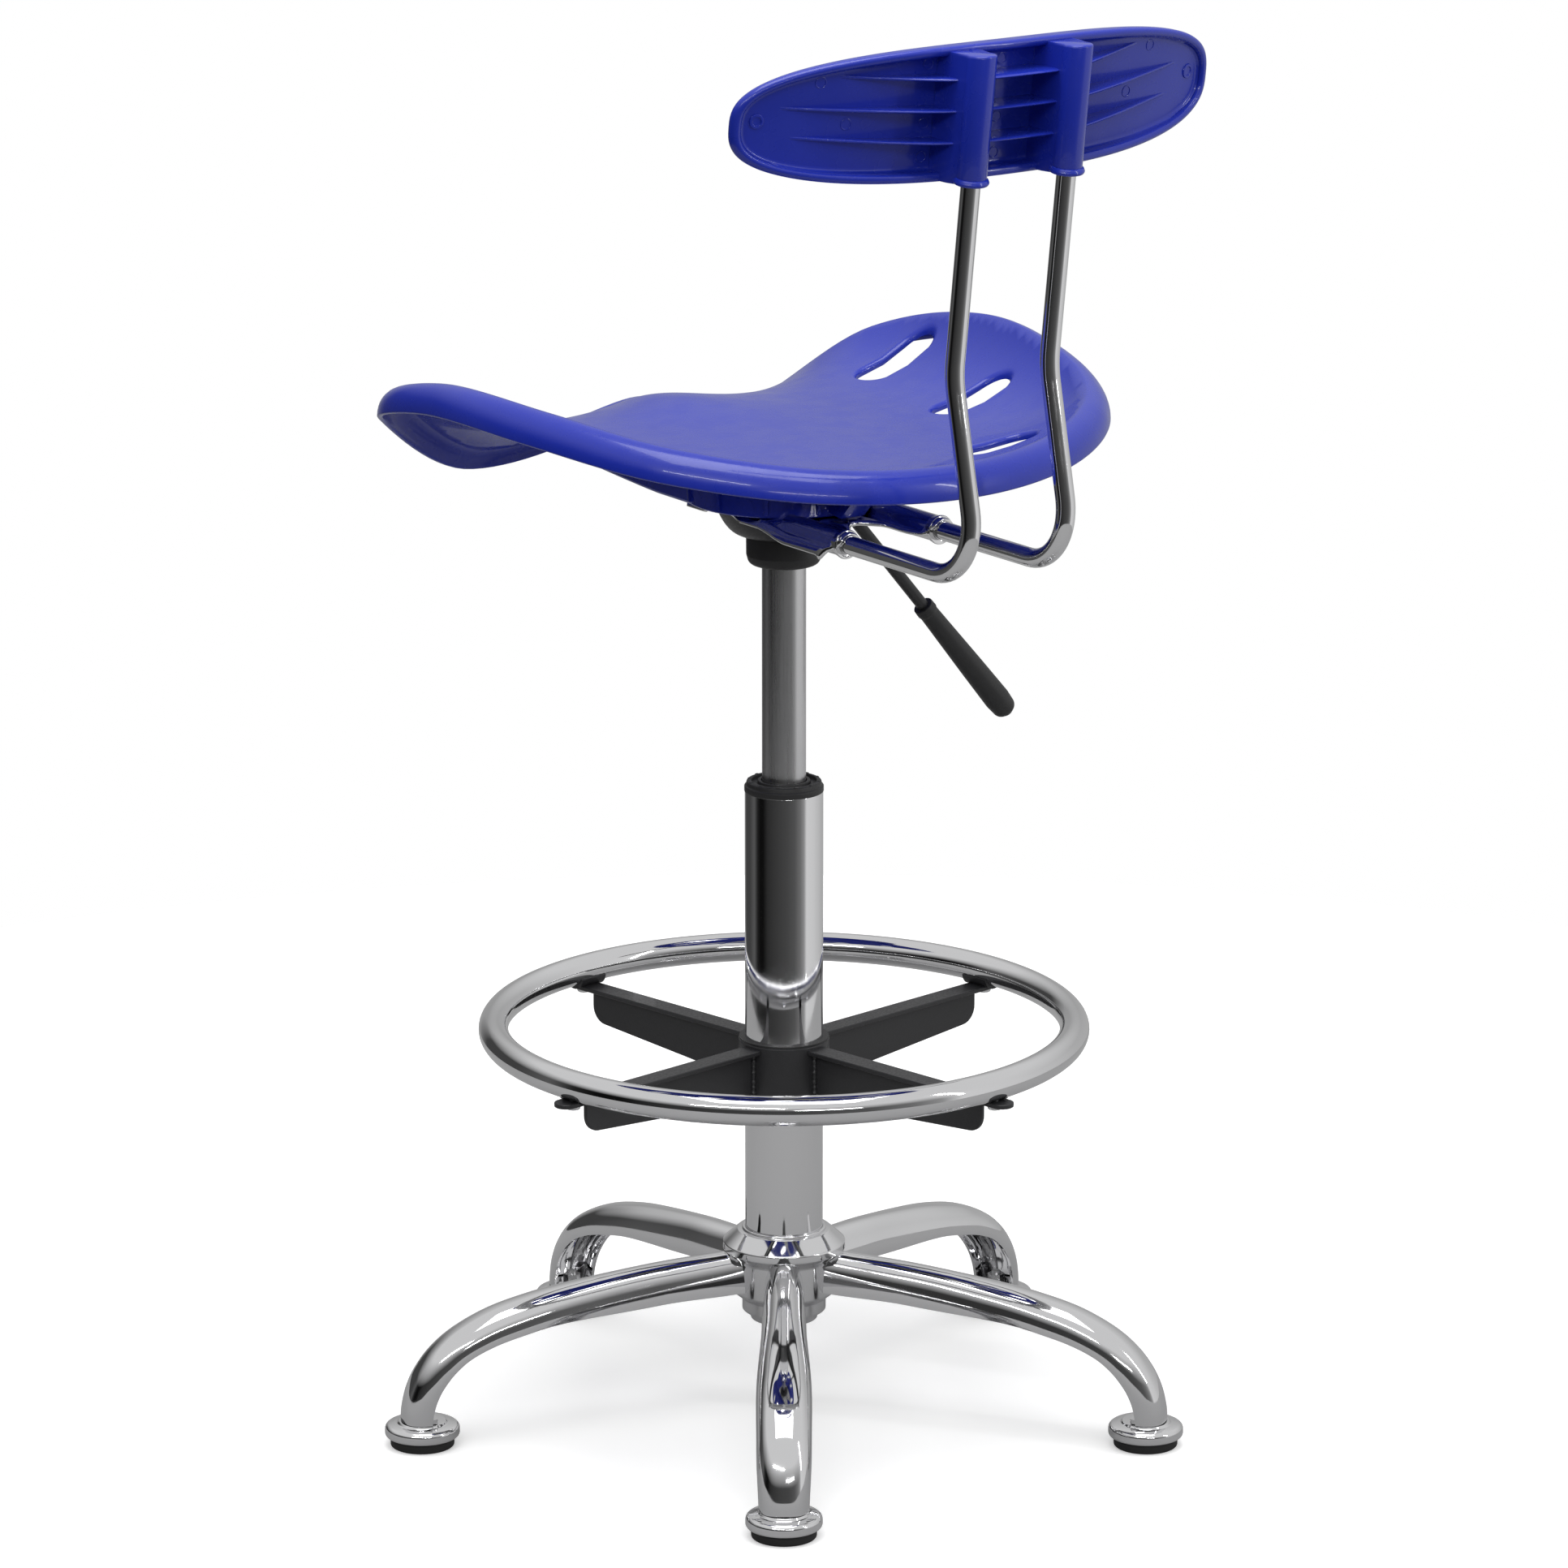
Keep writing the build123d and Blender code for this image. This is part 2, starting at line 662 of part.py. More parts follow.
with BuildPart() as dome_cup:
    with BuildSketch(Plane.XZ):
        with BuildLine():
            belly = (dome_radius - 4, (plate_bottom + dome_bottom) / 2)
            ThreePointArc((dome_radius, plate_bottom), belly, (dome_throat_radius, dome_bottom))
            Polyline(
                (dome_throat_radius, dome_bottom),
                (socket_diameter / 2, dome_bottom),
                (socket_diameter / 2, dome_bottom + dome_wall),
                (dome_throat_radius, dome_bottom + dome_wall),
            )
            ThreePointArc(
                (dome_throat_radius, dome_bottom + dome_wall),
                (belly[0] - dome_wall, belly[1] + dome_wall * 0.5),
                (dome_radius - dome_wall, plate_bottom),
            )
            Line((dome_radius - dome_wall, plate_bottom), (dome_radius, plate_bottom))
        make_face()
    revolve(axis=Axis.Z)
    with BuildSketch(Plane.XY.offset(plate_bottom)):
        with Locations((-socket_diameter / 2 - 4, 0)):
            Rectangle(dome_radius, lever_window_width, align=(Align.MAX, Align.CENTER))
    extrude(amount=dome_bottom + 3 - plate_bottom, mode=Mode.SUBTRACT)
save(dome_cup.part, "dome_cup")

with BuildPart() as taper_socket:
    with BuildSketch(Plane.XZ):
        with BuildLine():
            Polyline(
                (cylinder_diameter / 2, socket_bottom),
                (socket_diameter / 2, socket_bottom),
                (socket_diameter / 2, cylinder_top),
                (taper_top_diameter / 2, cylinder_top),
                close=True,
            )
        make_face()
    revolve(axis=Axis.Z)
save(taper_socket.part, "taper_socket")

with BuildPart() as column_boot:
    with BuildSketch(Plane.XY.offset(socket_bottom - boot_floor)):
        Circle(boot_diameter / 2)
        Circle(cylinder_diameter / 2, mode=Mode.SUBTRACT)
    extrude(amount=dome_bottom - socket_bottom + boot_floor)
    fillet(column_boot.edges().group_by(Axis.Z)[0].sort_by(SortBy.RADIUS)[-1], boot_edge)
    with BuildSketch(Plane.XY.offset(socket_bottom)):
        Circle(socket_diameter / 2)
    extrude(amount=dome_bottom - socket_bottom, mode=Mode.SUBTRACT)
save(column_boot.part, "column_boot")

with BuildPart() as seat_screws:
    with BuildSketch(Plane.XY.offset(plate_bottom)):
        with GridLocations(2 * seat_screw_spread, 2 * seat_screw_spread, 2, 2):
            Circle(seat_screw_head / 2)
    extrude(amount=-seat_screw_head_height)
    fillet(seat_screws.edges().group_by(Axis.Z)[0], seat_screw_head_height * 0.4)
    with BuildSketch(Plane.XY.offset(plate_bottom)):
        with GridLocations(2 * seat_screw_spread, 2 * seat_screw_spread, 2, 2):
            Circle(seat_screw_diameter / 2)
    extrude(amount=seat_screw_length)
save(seat_screws.part, "seat_screws")

# ---------------------------------------------------------------- lever
lever_dir = (-cos(radians(lever_drop_angle)), 0, -sin(radians(lever_drop_angle)))
lever_bend = Vector(lever_bend_x, 0, lever_height)
grip_start = lever_bend + Vector(lever_dir) * (lever_length - grip_length)

with BuildPart() as lever_rod:
    with BuildLine() as lever_line:
        FilletPolyline(
            (lever_inner_end, 0, lever_height),
            lever_bend,
            grip_start + Vector(lever_dir) * grip_bite,
            radius=lever_bend_radius,
        )
    with BuildSketch(Plane(origin=(lever_inner_end, 0, lever_height), z_dir=(-1, 0, 0))):
        Circle(lever_diameter / 2)
    sweep()
    with Locations((lever_pivot_x, 0, lever_height)):
        Cylinder(
            pivot_pin_diameter / 2 + shaft_gap,
            2 * lever_diameter,
            rotation=(90, 0, 0),
            mode=Mode.SUBTRACT,
        )
save(lever_rod.part, "lever_rod")

grip_plane = Plane(origin=grip_start, x_dir=(0, 1, 0), z_dir=lever_dir)
with BuildPart() as lever_grip:
    with BuildSketch(Plane(origin=grip_start, x_dir=grip_plane.x_dir, z_dir=grip_plane.y_dir)):
        with BuildLine():
            end = grip_end_diameter / 2
            Polyline(
                (0, 0),
                (grip_collar_diameter / 2, 0),
                (grip_collar_diameter / 2, -grip_collar_length),
                (grip_start_diameter / 2, -grip_collar_length - 2),
                (end, end - grip_length),
            )
            CenterArc((0, end - grip_length), end, 0, -90)
            Line((0, -grip_length), (0, 0))
        make_face()
    revolve(axis=Axis(grip_start, lever_dir))
    with BuildSketch(grip_plane):
        Circle(lever_diameter / 2)
    extrude(amount=grip_bite, mode=Mode.SUBTRACT)
save(lever_grip.part, "lever_grip")

with BuildPart() as lever_pivot_pin:
    with Locations((lever_pivot_x, 0, lever_height)):
        Cylinder(
            pivot_pin_diameter / 2,
            2 * (ear_y + ear_thickness) + 2,
            rotation=(90, 0, 0),
        )
save(lever_pivot_pin.part, "lever_pivot_pin")

# ---------------------------------------------------------------- backrest bars
back_bars = []
for side, name in ((1, "back_bar_left"), (-1, "back_bar_right")):
    with BuildPart() as back_bar:
        with BuildLine():
            FilletPolyline(
                (side * bar_x, bar_start, bar_height),
                (side * bar_x, bar_rear, bar_height),
                (side * bar_x, bar_knee_y, bar_knee_height),
                (side * bar_x, bar_top_y, bar_top),
                radius=[bar_bend_radius, bar_knee_radius],
            )
        with BuildSketch(Plane(origin=(side * bar_x, bar_start, bar_height), z_dir=(0, 1, 0))):
            Circle(bar_diameter / 2)
        sweep()
    save(back_bar.part, name)
    back_bars.append(back_bar.part)

# ---------------------------------------------------------------- backrest
# Every plan of the backrest is drawn level and extruded along the bars' lean, so both ends
# of the bow stay at the height of its middle. The bars' centres are at the plans' Y = 0.
lean_dir = Vector(0, sin(radians(bar_lean)), cos(radians(bar_lean)))
lean_stretch = 1 / cos(radians(bar_lean))
bar_plane = Plane(origin=(0, back_y, back_middle), x_dir=(1, 0, 0), z_dir=lean_dir)
bow_y = -back_front_gap - (back_bow_radius**2 - bar_x**2) ** 0.5
end_reach = back_width / 2 - back_rim
end_front = (back_bow_radius**2 - end_reach**2) ** 0.5
rear_drop = end_front - back_bow_radius - back_depth + back_end_depth
rear_radius = (end_reach**2 + rear_drop**2) / (-2 * rear_drop)
rear_y = bow_y + back_bow_radius + back_depth - rear_radius


def back_level(above):
    """The level plan at a height above the middle of the shell, following the lean."""
    shift = lean_dir * (above * lean_stretch)
    return Plane(origin=bar_plane.origin + shift, x_dir=(1, 0, 0))


def back_outline(inset):
    """The oval outline of the backrest, seen from the front, set in from its edge."""
    half_width = back_width / 2 - inset
    half_height = back_height / 2 - inset
    corners = 28
    points = []
    for index in range(corners):
        angle = radians(360 * index / corners)
        across = abs(cos(angle)) ** (2 / back_roundness) * half_width
        up = abs(sin(angle)) ** (2 / back_roundness) * half_height
        points.append((across if cos(angle) > 0 else -across, up if sin(angle) > 0 else -up))
    with BuildSketch(Plane(origin=bar_plane.origin, x_dir=(1, 0, 0), z_dir=(0, -1, 0))) as outline:
        with BuildLine():
            Spline(*points, periodic=True)
        make_face()
    return outline.sketch


def bow_band(near, far):
    """A curved wall from behind the front face to past the rear arc, taller than the shell."""
    with BuildPart() as band:
        with BuildSketch(back_level(-back_height)):
            with Locations((0, rear_y)):
                Circle(rear_radius + far)
                Rectangle(back_width * 1.2, 3 * rear_radius, mode=Mode.INTERSECT)
            with Locations((0, bow_y)):
                Circle(back_bow_radius + near, mode=Mode.SUBTRACT)
                Rectangle(
                    back_width * 1.2,
                    2 * rear_radius,
                    align=(Align.CENTER, Align.MAX),
                    mode=Mode.SUBTRACT,
                )
        extrude(amount=2 * back_height * lean_stretch, dir=lean_dir)
    return band.part


with BuildPart() as back_pocket:
    add(bow_band(back_skin, 1))
    extrude(back_outline(back_rim), amount=back_width, both=True, mode=Mode.INTERSECT)

with BuildPart() as back_ribs:
    with BuildSketch(back_level(back_rib_offset - (back_rib_count // 2) * back_rib_pitch)):
        reach_y = bow_y + (back_bow_radius**2 - back_rib_reach**2) ** 0.5 + back_skin
        with BuildLine():
            Polyline(
                (-back_rib_reach, reach_y),
                (-bar_x, back_rib_rear),
                (bar_x, back_rib_rear),
                (back_rib_reach, reach_y),
                close=True,
            )
        make_face()
        with Locations((0, bow_y)):
            Circle(back_bow_radius + back_skin / 2, mode=Mode.SUBTRACT)
    extrude(amount=back_rib_thickness / 2, both=True)

socket_foot = back_socket_rise - back_height / 2
with BuildPart() as back_sockets:
    with BuildSketch(bar_plane.offset(socket_foot)):
        with Locations((-bar_x, 0), (bar_x, 0)):
            Circle(back_socket_diameter / 2)
            Rectangle(
                back_socket_diameter,
                back_front_gap - back_skin / 2,
                align=(Align.CENTER, Align.MAX),
            )
    extrude(amount=back_height - back_rim)
    with BuildSketch(bar_plane.offset(socket_foot)):
        with Locations((-bar_x, 0), (bar_x, 0)):
            Circle(back_socket_lip_diameter / 2)
    extrude(amount=back_socket_lip_height)

with BuildPart() as back_shell:
    add(bow_band(0, 0))
    extrude(back_outline(0), amount=back_width, both=True, mode=Mode.INTERSECT)
    add(back_pocket.part, mode=Mode.SUBTRACT)
    for index in range(back_rib_count):
        add(back_ribs.part.translate(lean_dir * (index * back_rib_pitch * lean_stretch)))
    add(back_sockets.part)
    for bar in back_bars:
        add(bar, mode=Mode.SUBTRACT)
save(back_shell.part, "back_shell")

# ---------------------------------------------------------------- seat


def rim_at(angle, column):
    """Smooth value of a rim station's column at an angle from the rear, either side."""
    angle = abs((angle + 180) % 360 - 180)
    stations = [(-seat_rim[1][0], *seat_rim[1][1:])] + seat_rim
    stations = stations + [(360 - seat_rim[-2][0], *seat_rim[-2][1:])]
    place = max(i for i in range(1, len(seat_rim)) if stations[i][0] <= angle)
    before, low, high, after = stations[place - 1 : place + 3]
    span = high[0] - low[0]
    share = (angle - low[0]) / span
    low_slope = (high[column] - before[column]) / (high[0] - before[0]) * span
    high_slope = (after[column] - low[column]) / (after[0] - low[0]) * span
    return (
        (2 * share**3 - 3 * share**2 + 1) * low[column]
        + (share**3 - 2 * share**2 + share) * low_slope
        + (3 * share**2 - 2 * share**3) * high[column]
        + (share**3 - share**2) * high_slope
    )


def dish_point(angle, share, sink):
    """A point of the dish: share 0 at the centre, 1 at the crest, sunk below the top face."""
    reach = share * (rim_at(angle, 1) - seat_rim_roll)
    x = reach * sin(radians(angle))
    y = seat_centre_y + reach * cos(radians(angle))
    rise = (rim_at(angle, 2) - seat_base) * share**seat_dish_power
    across = (x / seat_pommel_width) ** 2 + ((y - seat_pommel_y) / seat_pommel_length) ** 2
    return Vector(x, y, seat_base + rise + seat_pommel_height * exp(-across) - sink)


def roll_point(angle, turn, sink):
    """A point of the rolled rim: turn 0 on the crest, 90 at the lip."""
    reach = rim_at(angle, 1) - seat_rim_roll + (seat_rim_roll - sink) * sin(radians(turn))
    crest = dish_point(angle, 1, sink)
    return Vector(
        reach * sin(radians(angle)),
        seat_centre_y + reach * cos(radians(angle)),
        crest.Z - (seat_rim_drop - sink) * (1 - cos(radians(turn))),
    )


def ring_wire(point_at):
    """A closed smooth wire through one point for each direction round the seat."""
    step = 360 / seat_rim_points
    points = [point_at(index * step) for index in range(seat_rim_points)]
    return Wire([Edge.make_spline(points, periodic=True)])


centre_ring_radius = 14.0
dish_shares = (0.35, 0.6, 0.75, 0.86, 0.94, 1.0)
roll_turns = (30.0, 60.0, 90.0)
seat_wires = [
    Wire.make_circle(centre_ring_radius, Plane((0, seat_centre_y, seat_base), x_dir=(0, 1, 0)))
]
for share in dish_shares:
    seat_wires.append(ring_wire(lambda angle: dish_point(angle, share, 0)))
for turn in roll_turns:
    seat_wires.append(ring_wire(lambda angle: roll_point(angle, turn, 0)))
for turn in reversed(roll_turns):
    seat_wires.append(ring_wire(lambda angle: roll_point(angle, turn, seat_wall)))
for share in reversed(dish_shares):
    seat_wires.append(ring_wire(lambda angle: dish_point(angle, share, seat_wall)))
seat_wires.append(
    Wire.make_circle(
        centre_ring_radius,
        Plane((0, seat_centre_y, seat_base - seat_wall), x_dir=(0, 1, 0)),
    )
)
seat_skin = Solid.make_loft(seat_wires, ruled=True)

skirt_top = seat_base - seat_wall / 8
with BuildPart() as seat_skirt:
    with BuildSketch(Plane.XY.offset(plate_top)) as skirt_plan:
        Circle(skirt_radius)
        Circle(skirt_radius - skirt_wall, mode=Mode.SUBTRACT)
        with PolarLocations(skirt_hub_radius, skirt_rib_count):
            Rectangle(
                skirt_radius - skirt_hub_radius - skirt_wall / 2,
                skirt_wall,
                align=(Align.MIN, Align.CENTER),
            )
        Circle(skirt_hub_radius + skirt_wall)
        Circle(skirt_hub_radius, mode=Mode.SUBTRACT)
        with GridLocations(2 * seat_screw_spread, 2 * seat_screw_spread, 2, 2):
            Circle(boss_radius)
            Circle(seat_screw_diameter / 2, mode=Mode.SUBTRACT)
    extrude(amount=skirt_top - plate_top)

with BuildPart() as seat_slots:
    with BuildSketch(Plane.XY.offset(seat_base - 2 * seat_rim_drop)):
        for side in (-1, 1):
            with Locations([(side * x, y) for x, y in slot_places]):
                SlotOverall(slot_length, slot_width)
    extrude(amount=6 * seat_rim_drop)

with BuildPart() as seat_shell:
    add(seat_skin)
    add(seat_skirt.part)
    add(seat_slots.part, mode=Mode.SUBTRACT)
save(seat_shell.part, "seat_shell")
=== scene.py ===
import json
from math import atan2, cos, exp, hypot, pi, radians, sin, sqrt, tan

import bmesh
import bpy
from mathutils import Matrix, Vector
from mathutils.geometry import delaunay_2d_cdt


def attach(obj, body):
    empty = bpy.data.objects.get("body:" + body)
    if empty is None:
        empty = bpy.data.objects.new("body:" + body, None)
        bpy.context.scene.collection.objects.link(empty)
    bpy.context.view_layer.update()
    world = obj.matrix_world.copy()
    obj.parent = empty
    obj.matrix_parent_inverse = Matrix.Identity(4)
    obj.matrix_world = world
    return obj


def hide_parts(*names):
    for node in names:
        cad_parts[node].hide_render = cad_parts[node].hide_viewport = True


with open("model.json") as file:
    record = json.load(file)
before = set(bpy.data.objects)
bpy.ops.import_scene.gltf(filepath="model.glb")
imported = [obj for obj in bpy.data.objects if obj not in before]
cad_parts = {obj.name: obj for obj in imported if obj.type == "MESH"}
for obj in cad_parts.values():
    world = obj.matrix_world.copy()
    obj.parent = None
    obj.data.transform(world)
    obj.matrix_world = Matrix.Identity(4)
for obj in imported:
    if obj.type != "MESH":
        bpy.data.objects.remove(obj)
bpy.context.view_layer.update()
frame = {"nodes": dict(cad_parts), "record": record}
nodes = frame["nodes"]
MM = 0.001

# Sizes shared with the CAD source, in millimetres
FOOT_CIRCLE = 243.0
LEG_FIRST_ANGLE = 55.0
GLIDE_TOP = 17.0
RING_RADIUS, RING_TUBE, RING_HEIGHT = 186.0, 9.5, 257.0
ARM_FIRST_ANGLE = 10.0
ARM_TOP = RING_HEIGHT - RING_TUBE
BAR_X, BAR_HEIGHT, BAR_RADIUS = 35.5, 599.5, 6.0
BAR_KNEE_Y, BAR_KNEE_Z, BAR_TOP_Y, BAR_TOP_Z = 228.0, 722.0, 252.0, 905.0
BAR_PATH = [(60.0, BAR_HEIGHT), (255.0, BAR_HEIGHT), (BAR_KNEE_Y, BAR_KNEE_Z), (BAR_TOP_Y, BAR_TOP_Z)]
BAR_BENDS = [36.0, 60.0]
LEVER_HEIGHT, LEVER_BEND_X, LEVER_BEND_RADIUS, LEVER_DROP = 594.0, -44.0, 14.0, 49.5
LEVER_RADIUS, LEVER_LENGTH, GRIP_LENGTH, GRIP_SOCKET = 4.0, 205.0, 106.0, 28.0
BACK_WIDTH, BACK_HEIGHT, BACK_MIDDLE, BACK_ROUND = 353.0, 83.0, 882.5, 2.8
BACK_GAP, BACK_BOW, BACK_SKIN, BACK_DEPTH, BACK_END_DEPTH = 32.0, 600.0, 3.5, 15.0, 8.0
BAR_LEAN = atan2(BAR_TOP_Y - BAR_KNEE_Y, BAR_TOP_Z - BAR_KNEE_Z)
SEAT_Y, SEAT_BASE, SEAT_WALL = 22.0, 642.0, 4.0
SEAT_DROP, SEAT_ROLL, SEAT_POWER = 18.0, 16.0, 6.0
HUMP_RISE, HUMP_WIDTH, HUMP_Y, HUMP_LENGTH = 8.0, 51.0, -128.0, 68.0
# Rim stations: angle from the rear, reach from (0, SEAT_Y), crest height
SEAT_RIM = [
    (0.0, 175.0, 657.0), (30.0, 180.0, 661.0), (60.0, 193.0, 672.0), (90.0, 206.0, 684.0),
    (115.0, 237.0, 687.0), (135.0, 273.0, 666.0), (155.0, 252.0, 617.0), (180.0, 200.0, 634.0),
]
SLOTS = [(86.0, 108.0), (145.0, 1.0), (163.0, -107.0)]
SLOT_LENGTH, SLOT_WIDTH = 56.0, 25.0
PLATE_TOP = 603.0


# ------------------------------------------------------------------ materials
def new_material(name, color, metallic, roughness, coat=0.0, coat_rough=0.05):
    """A material with a Principled shader, its node tree and that shader."""
    material = bpy.data.materials.new(name)
    material.use_nodes = True
    tree = material.node_tree
    shader = tree.nodes["Principled BSDF"]
    shader.inputs["Base Color"].default_value = (*color, 1)
    shader.inputs["Metallic"].default_value = metallic
    shader.inputs["Roughness"].default_value = roughness
    shader.inputs["Coat Weight"].default_value = coat
    shader.inputs["Coat Roughness"].default_value = coat_rough
    return material, tree, shader


def noise(tree, scale, stretch=(1, 1, 1), detail=3.0):
    """A noise texture in object space, stretched along an axis by a small scale there."""
    coords = tree.nodes.new("ShaderNodeTexCoord")
    mapping = tree.nodes.new("ShaderNodeMapping")
    mapping.inputs["Scale"].default_value = stretch
    texture = tree.nodes.new("ShaderNodeTexNoise")
    texture.inputs["Scale"].default_value = scale
    texture.inputs["Detail"].default_value = detail
    tree.links.new(coords.outputs["Object"], mapping.inputs["Vector"])
    tree.links.new(mapping.outputs["Vector"], texture.inputs["Vector"])
    return texture


def vary(tree, texture, socket, low, high):
    """Drives a socket from a texture, between two values."""
    ramp = tree.nodes.new("ShaderNodeMapRange")
    ramp.inputs["From Min"].default_value = 0.35
    ramp.inputs["From Max"].default_value = 0.65
    ramp.inputs["To Min"].default_value = low
    ramp.inputs["To Max"].default_value = high
    tree.links.new(texture.outputs["Fac"], ramp.inputs["Value"])
    tree.links.new(ramp.outputs["Result"], socket)


def bump(tree, shader, texture, strength, distance):
    """Raises a texture's grain in the shader's normal."""
    node = tree.nodes.new("ShaderNodeBump")
    node.inputs["Strength"].default_value = strength
    node.inputs["Distance"].default_value = distance
    tree.links.new(texture.outputs["Fac"], node.inputs["Height"])
    tree.links.new(node.outputs["Normal"], shader.inputs["Normal"])


def tint(tree, shader, texture, dark, light):
    """Mixes the base colour between two near shades."""
    mix = tree.nodes.new("ShaderNodeMix")
    mix.data_type = "RGBA"
    mix.inputs[6].default_value = (*dark, 1)
    mix.inputs[7].default_value = (*light, 1)
    tree.links.new(texture.outputs["Fac"], mix.inputs[0])
    tree.links.new(mix.outputs[2], shader.inputs["Base Color"])


def make_chrome():
    material, tree, shader = new_material("bright_chrome", (0.76, 0.76, 0.77), 1.0, 0.05)
    vary(tree, noise(tree, 38.0), shader.inputs["Roughness"], 0.035, 0.085)
    bump(tree, shader, noise(tree, 16.0, detail=1.0), 0.06, 0.001)
    return material


def make_satin():
    material, tree, shader = new_material("satin_steel", (0.6, 0.6, 0.61), 1.0, 0.3)
    grain = noise(tree, 900.0, (1, 1, 0.02), 4.0)
    vary(tree, grain, shader.inputs["Roughness"], 0.27, 0.31)
    bump(tree, shader, grain, 0.015, 0.0002)
    return material


def make_steel():
    material, tree, shader = new_material("bright_steel", (0.7, 0.7, 0.71), 1.0, 0.25)
    vary(tree, noise(tree, 300.0), shader.inputs["Roughness"], 0.2, 0.34)
    return material


def make_blue():
    material, tree, shader = new_material("blue_gloss", (0.0135, 0.03, 0.40), 0.0, 0.26, 0.35, 0.03)
    shade = noise(tree, 14.0, detail=2.0)
    tint(tree, shader, shade, (0.0125, 0.028, 0.38), (0.0145, 0.032, 0.42))
    vary(tree, noise(tree, 60.0), shader.inputs["Roughness"], 0.22, 0.32)
    shader.inputs["Specular IOR Level"].default_value = 0.36
    bump(tree, shader, noise(tree, 420.0, detail=2.0), 0.006, 0.0002)
    return material


def make_black_plastic():
    material, tree, shader = new_material("black_plastic", (0.02, 0.02, 0.021), 0.0, 0.5)
    grain = noise(tree, 1400.0)
    vary(tree, grain, shader.inputs["Roughness"], 0.42, 0.6)
    bump(tree, shader, grain, 0.1, 0.0003)
    return material


def make_black_paint():
    material, tree, shader = new_material("black_paint", (0.022, 0.022, 0.024), 0.0, 0.38)
    grain = noise(tree, 700.0)
    vary(tree, grain, shader.inputs["Roughness"], 0.33, 0.46)
    bump(tree, shader, grain, 0.14, 0.0004)
    return material


def make_rubber():
    material, tree, shader = new_material("black_rubber", (0.015, 0.015, 0.015), 0.0, 0.7)
    bump(tree, shader, noise(tree, 900.0), 0.2, 0.0004)
    return material


CHROME, SATIN, STEEL, BLUE = make_chrome(), make_satin(), make_steel(), make_blue()
PLASTIC, PAINT, RUBBER = make_black_plastic(), make_black_paint(), make_rubber()
FINISHES = {
    "bright_chrome": CHROME, "satin_steel": SATIN, "bright_steel": STEEL, "blue_gloss": BLUE,
    "black_plastic": PLASTIC, "black_paint": PAINT, "black_rubber": RUBBER,
}
for subpart in frame["record"]["subparts"]:
    finish = FINISHES[subpart["material_slot"]]
    part_mesh = nodes[subpart["node"]].data
    part_mesh.materials.clear()
    part_mesh.materials.append(finish)


def sign(value):
    return 1 if value > 0 else -1


def build(name, verts, faces, material, body, replaces=(), sharp=38.0, recalc=True):
    """A smooth-shaded mesh piece from points in millimetres."""
    mesh = bpy.data.meshes.new(name)
    mesh.from_pydata([(x * MM, y * MM, z * MM) for x, y, z in verts], [], faces)
    bm = bmesh.new()
    bm.from_mesh(mesh)
    bmesh.ops.remove_doubles(bm, verts=bm.verts, dist=1e-6)
    if recalc:
        bmesh.ops.recalc_face_normals(bm, faces=bm.faces)
    bm.to_mesh(mesh)
    bm.free()
    for face in mesh.polygons:
        face.use_smooth = True
    mesh.set_sharp_from_angle(angle=radians(sharp))
    mesh.materials.append(material)
    piece = bpy.data.objects.new(name, mesh)
    bpy.context.collection.objects.link(piece)
    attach(piece, body)
    if replaces:
        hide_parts(*replaces)
    return piece


def rounded(corners, closed=True, steps=6):
    """A flat polyline of (a, b, radius) with its corners rounded."""
    out = []
    count = len(corners)
    for i, (a, b, radius) in enumerate(corners):
        if radius == 0 or (not closed and i in (0, count - 1)):
            out.append((a, b))
            continue
        corner = Vector((a, b))
        before = Vector(corners[i - 1][:2]) - corner
        after = Vector(corners[(i + 1) % count][:2]) - corner
        half = before.angle(after) / 2
        cut = min(radius / tan(half), before.length * 0.49, after.length * 0.49)
        radius = cut * tan(half)
        inward = (before.normalized() + after.normalized()).normalized()
        middle = corner + inward * (radius / sin(half))
        start = corner + before.normalized() * cut - middle
        end = corner + after.normalized() * cut - middle
        first = atan2(start.y, start.x)
        turn = (atan2(end.y, end.x) - first + pi) % (2 * pi) - pi
        for k in range(steps + 1):
            angle = first + turn * k / steps
            out.append((middle.x + radius * cos(angle), middle.y + radius * sin(angle)))
    return out


def lathe_mesh(profile, segments=128):
    """Points and faces of a closed profile of (radius, height) turned about +Z."""
    verts, faces = [], []
    rows = []
    for r, z in profile:
        if r < 1e-6:
            rows.append([len(verts)])
            verts.append((0, 0, z))
        else:
            rows.append(list(range(len(verts), len(verts) + segments)))
            for k in range(segments):
                angle = 2 * pi * k / segments
                verts.append((r * cos(angle), r * sin(angle), z))
    for low, high in zip(rows, rows[1:] + rows[:1]):
        for k in range(segments):
            j = (k + 1) % segments
            corners = (low[k % len(low)], low[j % len(low)], high[j % len(high)], high[k % len(high)])
            face = []
            for index in corners:
                if index not in face:
                    face.append(index)
            if len(face) > 2:
                faces.append(face)
    return verts, faces


def moved(mesh, matrix):
    verts, faces = mesh
    return [tuple(matrix @ Vector(v)) for v in verts], faces


def joined(*meshes):
    """Several meshes as one."""
    verts, faces = [], []
    for part_verts, part_faces in meshes:
        shift = len(verts)
        verts += part_verts
        faces += [[index + shift for index in face] for face in part_faces]
    return verts, faces


def lathe(name, profile, material, body, replaces=(), segments=128, matrix=None):
    """A piece turned from a profile about +Z, then placed by a matrix."""
    mesh = lathe_mesh(profile, segments)
    if matrix is not None:
        mesh = moved(mesh, matrix)
    return build(name, *mesh, material, body, replaces)


def turned(angle):
    return Matrix.Rotation(radians(angle), 4, "Z")


